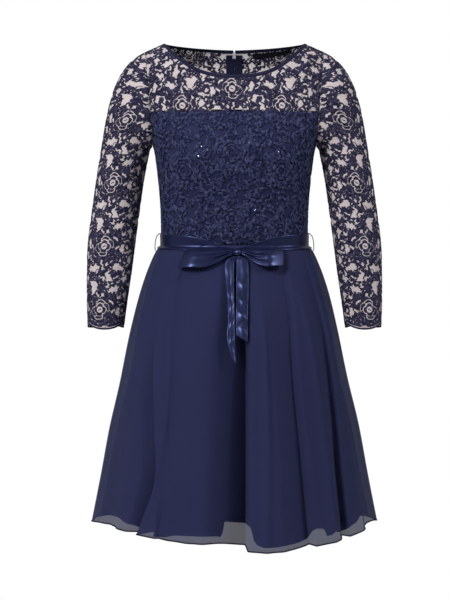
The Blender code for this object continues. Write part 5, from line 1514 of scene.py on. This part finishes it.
# a few tiny sequins sewn on the lace: across and height on the front
sequinSet = {"front": ((-60.5, -196.5), (-50, -203), (-65, -213.5), (26, -190.5), (79, -207), (37, -312.5)),
             "turned": (-0.33, -0.91, 0.25), "radius": 1.5, "wall": 0.25, "out": 3.9}


def addSequins():
    parts, chance = [], np.random.default_rng(4)
    turn = np.linspace(0, 2 * np.pi, 8, endpoint=False)[:, None]
    for x, z in sequinSet["front"]:
        u = flatU(front, np.array([x]), np.array([z]))
        point = onBody(front, u, np.array([float(z)]), np.array([sequinSet["out"]]))[0][0]
        normal = unit(np.array(sequinSet["turned"]) + chance.uniform(-0.04, 0.04, 3))
        side = unit(np.cross(normal, [0, 0, 1.0]))
        rim = point + sequinSet["radius"] * (np.cos(turn) * side + np.sin(turn) * np.cross(side, normal))
        ring = np.concatenate([rim, rim + normal * sequinSet["wall"], rim * 0.5 + point * 0.5 + normal * 0.1])
        outward = np.concatenate([rim - point, normal + rim * 0, normal + rim * 0])
        walls = turnedOut(ring, gridFaces(3, 8, True), outward)[0]
        parts.append((ring, (walls, [np.arange(16, 24)])))
    addPiece("sequins", newMesh("sequins", *joined(parts)), finishes["sequin"])


addSequins()
# studio: a white surround behind the dress, dimmer as a light than it looks, and one soft key light
lightSet = {
    "seen": 1.0, "given": 0.42, "floor": -1.40, "floorReach": 1.3,
    # name, place, size, power and the height on the dress that it faces
    "lamps": (("key", (-1.9, -2.4, 1.4), 0.9, 132, -0.45), ("fill", (2.9, -1.5, 1.6), 0.7, 66, -0.5)),
}
world = bpy.data.worlds.new("studio")
world.use_nodes = True
nodes, links = world.node_tree.nodes, world.node_tree.links
given = nodes["Background"]
given.inputs["Color"].default_value = (0.97, 0.98, 1.0, 1)
given.inputs["Strength"].default_value = lightSet["given"]
seen = nodes.new("ShaderNodeBackground")
seen.inputs["Color"].default_value = (1, 1, 1, 1)
seen.inputs["Strength"].default_value = lightSet["seen"]
kind, either = nodes.new("ShaderNodeLightPath"), nodes.new("ShaderNodeMixShader")
links.new(kind.outputs["Is Camera Ray"], either.inputs[0])
links.new(given.outputs["Background"], either.inputs[1])
links.new(seen.outputs["Background"], either.inputs[2])
links.new(either.outputs["Shader"], nodes["World Output"].inputs["Surface"])
scene.world = world


for name, place, size, power, height in lightSet["lamps"]:
    data = bpy.data.lights.new(name, "AREA")
    data.size, data.energy = size, power
    lamp = newObject(name, data)
    lamp.location = place
    lamp.rotation_euler = (Vector((0, 0, height)) - Vector(place)).to_track_quat("-Z", "Y").to_euler()

edge = np.linspace(0, 2 * np.pi, 96, endpoint=False)
rim = np.stack([np.cos(edge), np.sin(edge), 0 * edge], 1) * lightSet["floorReach"] + [0, 0, lightSet["floor"]]
floor = newObject("floor", newMesh("floor", rim / mm, [np.arange(96)[None]]))
floor.data.materials.append(fabric("paleFloor", (0.93, 0.93, 0.93), (0.96, 0.96, 0.96), 0.9, None, 0, 2))
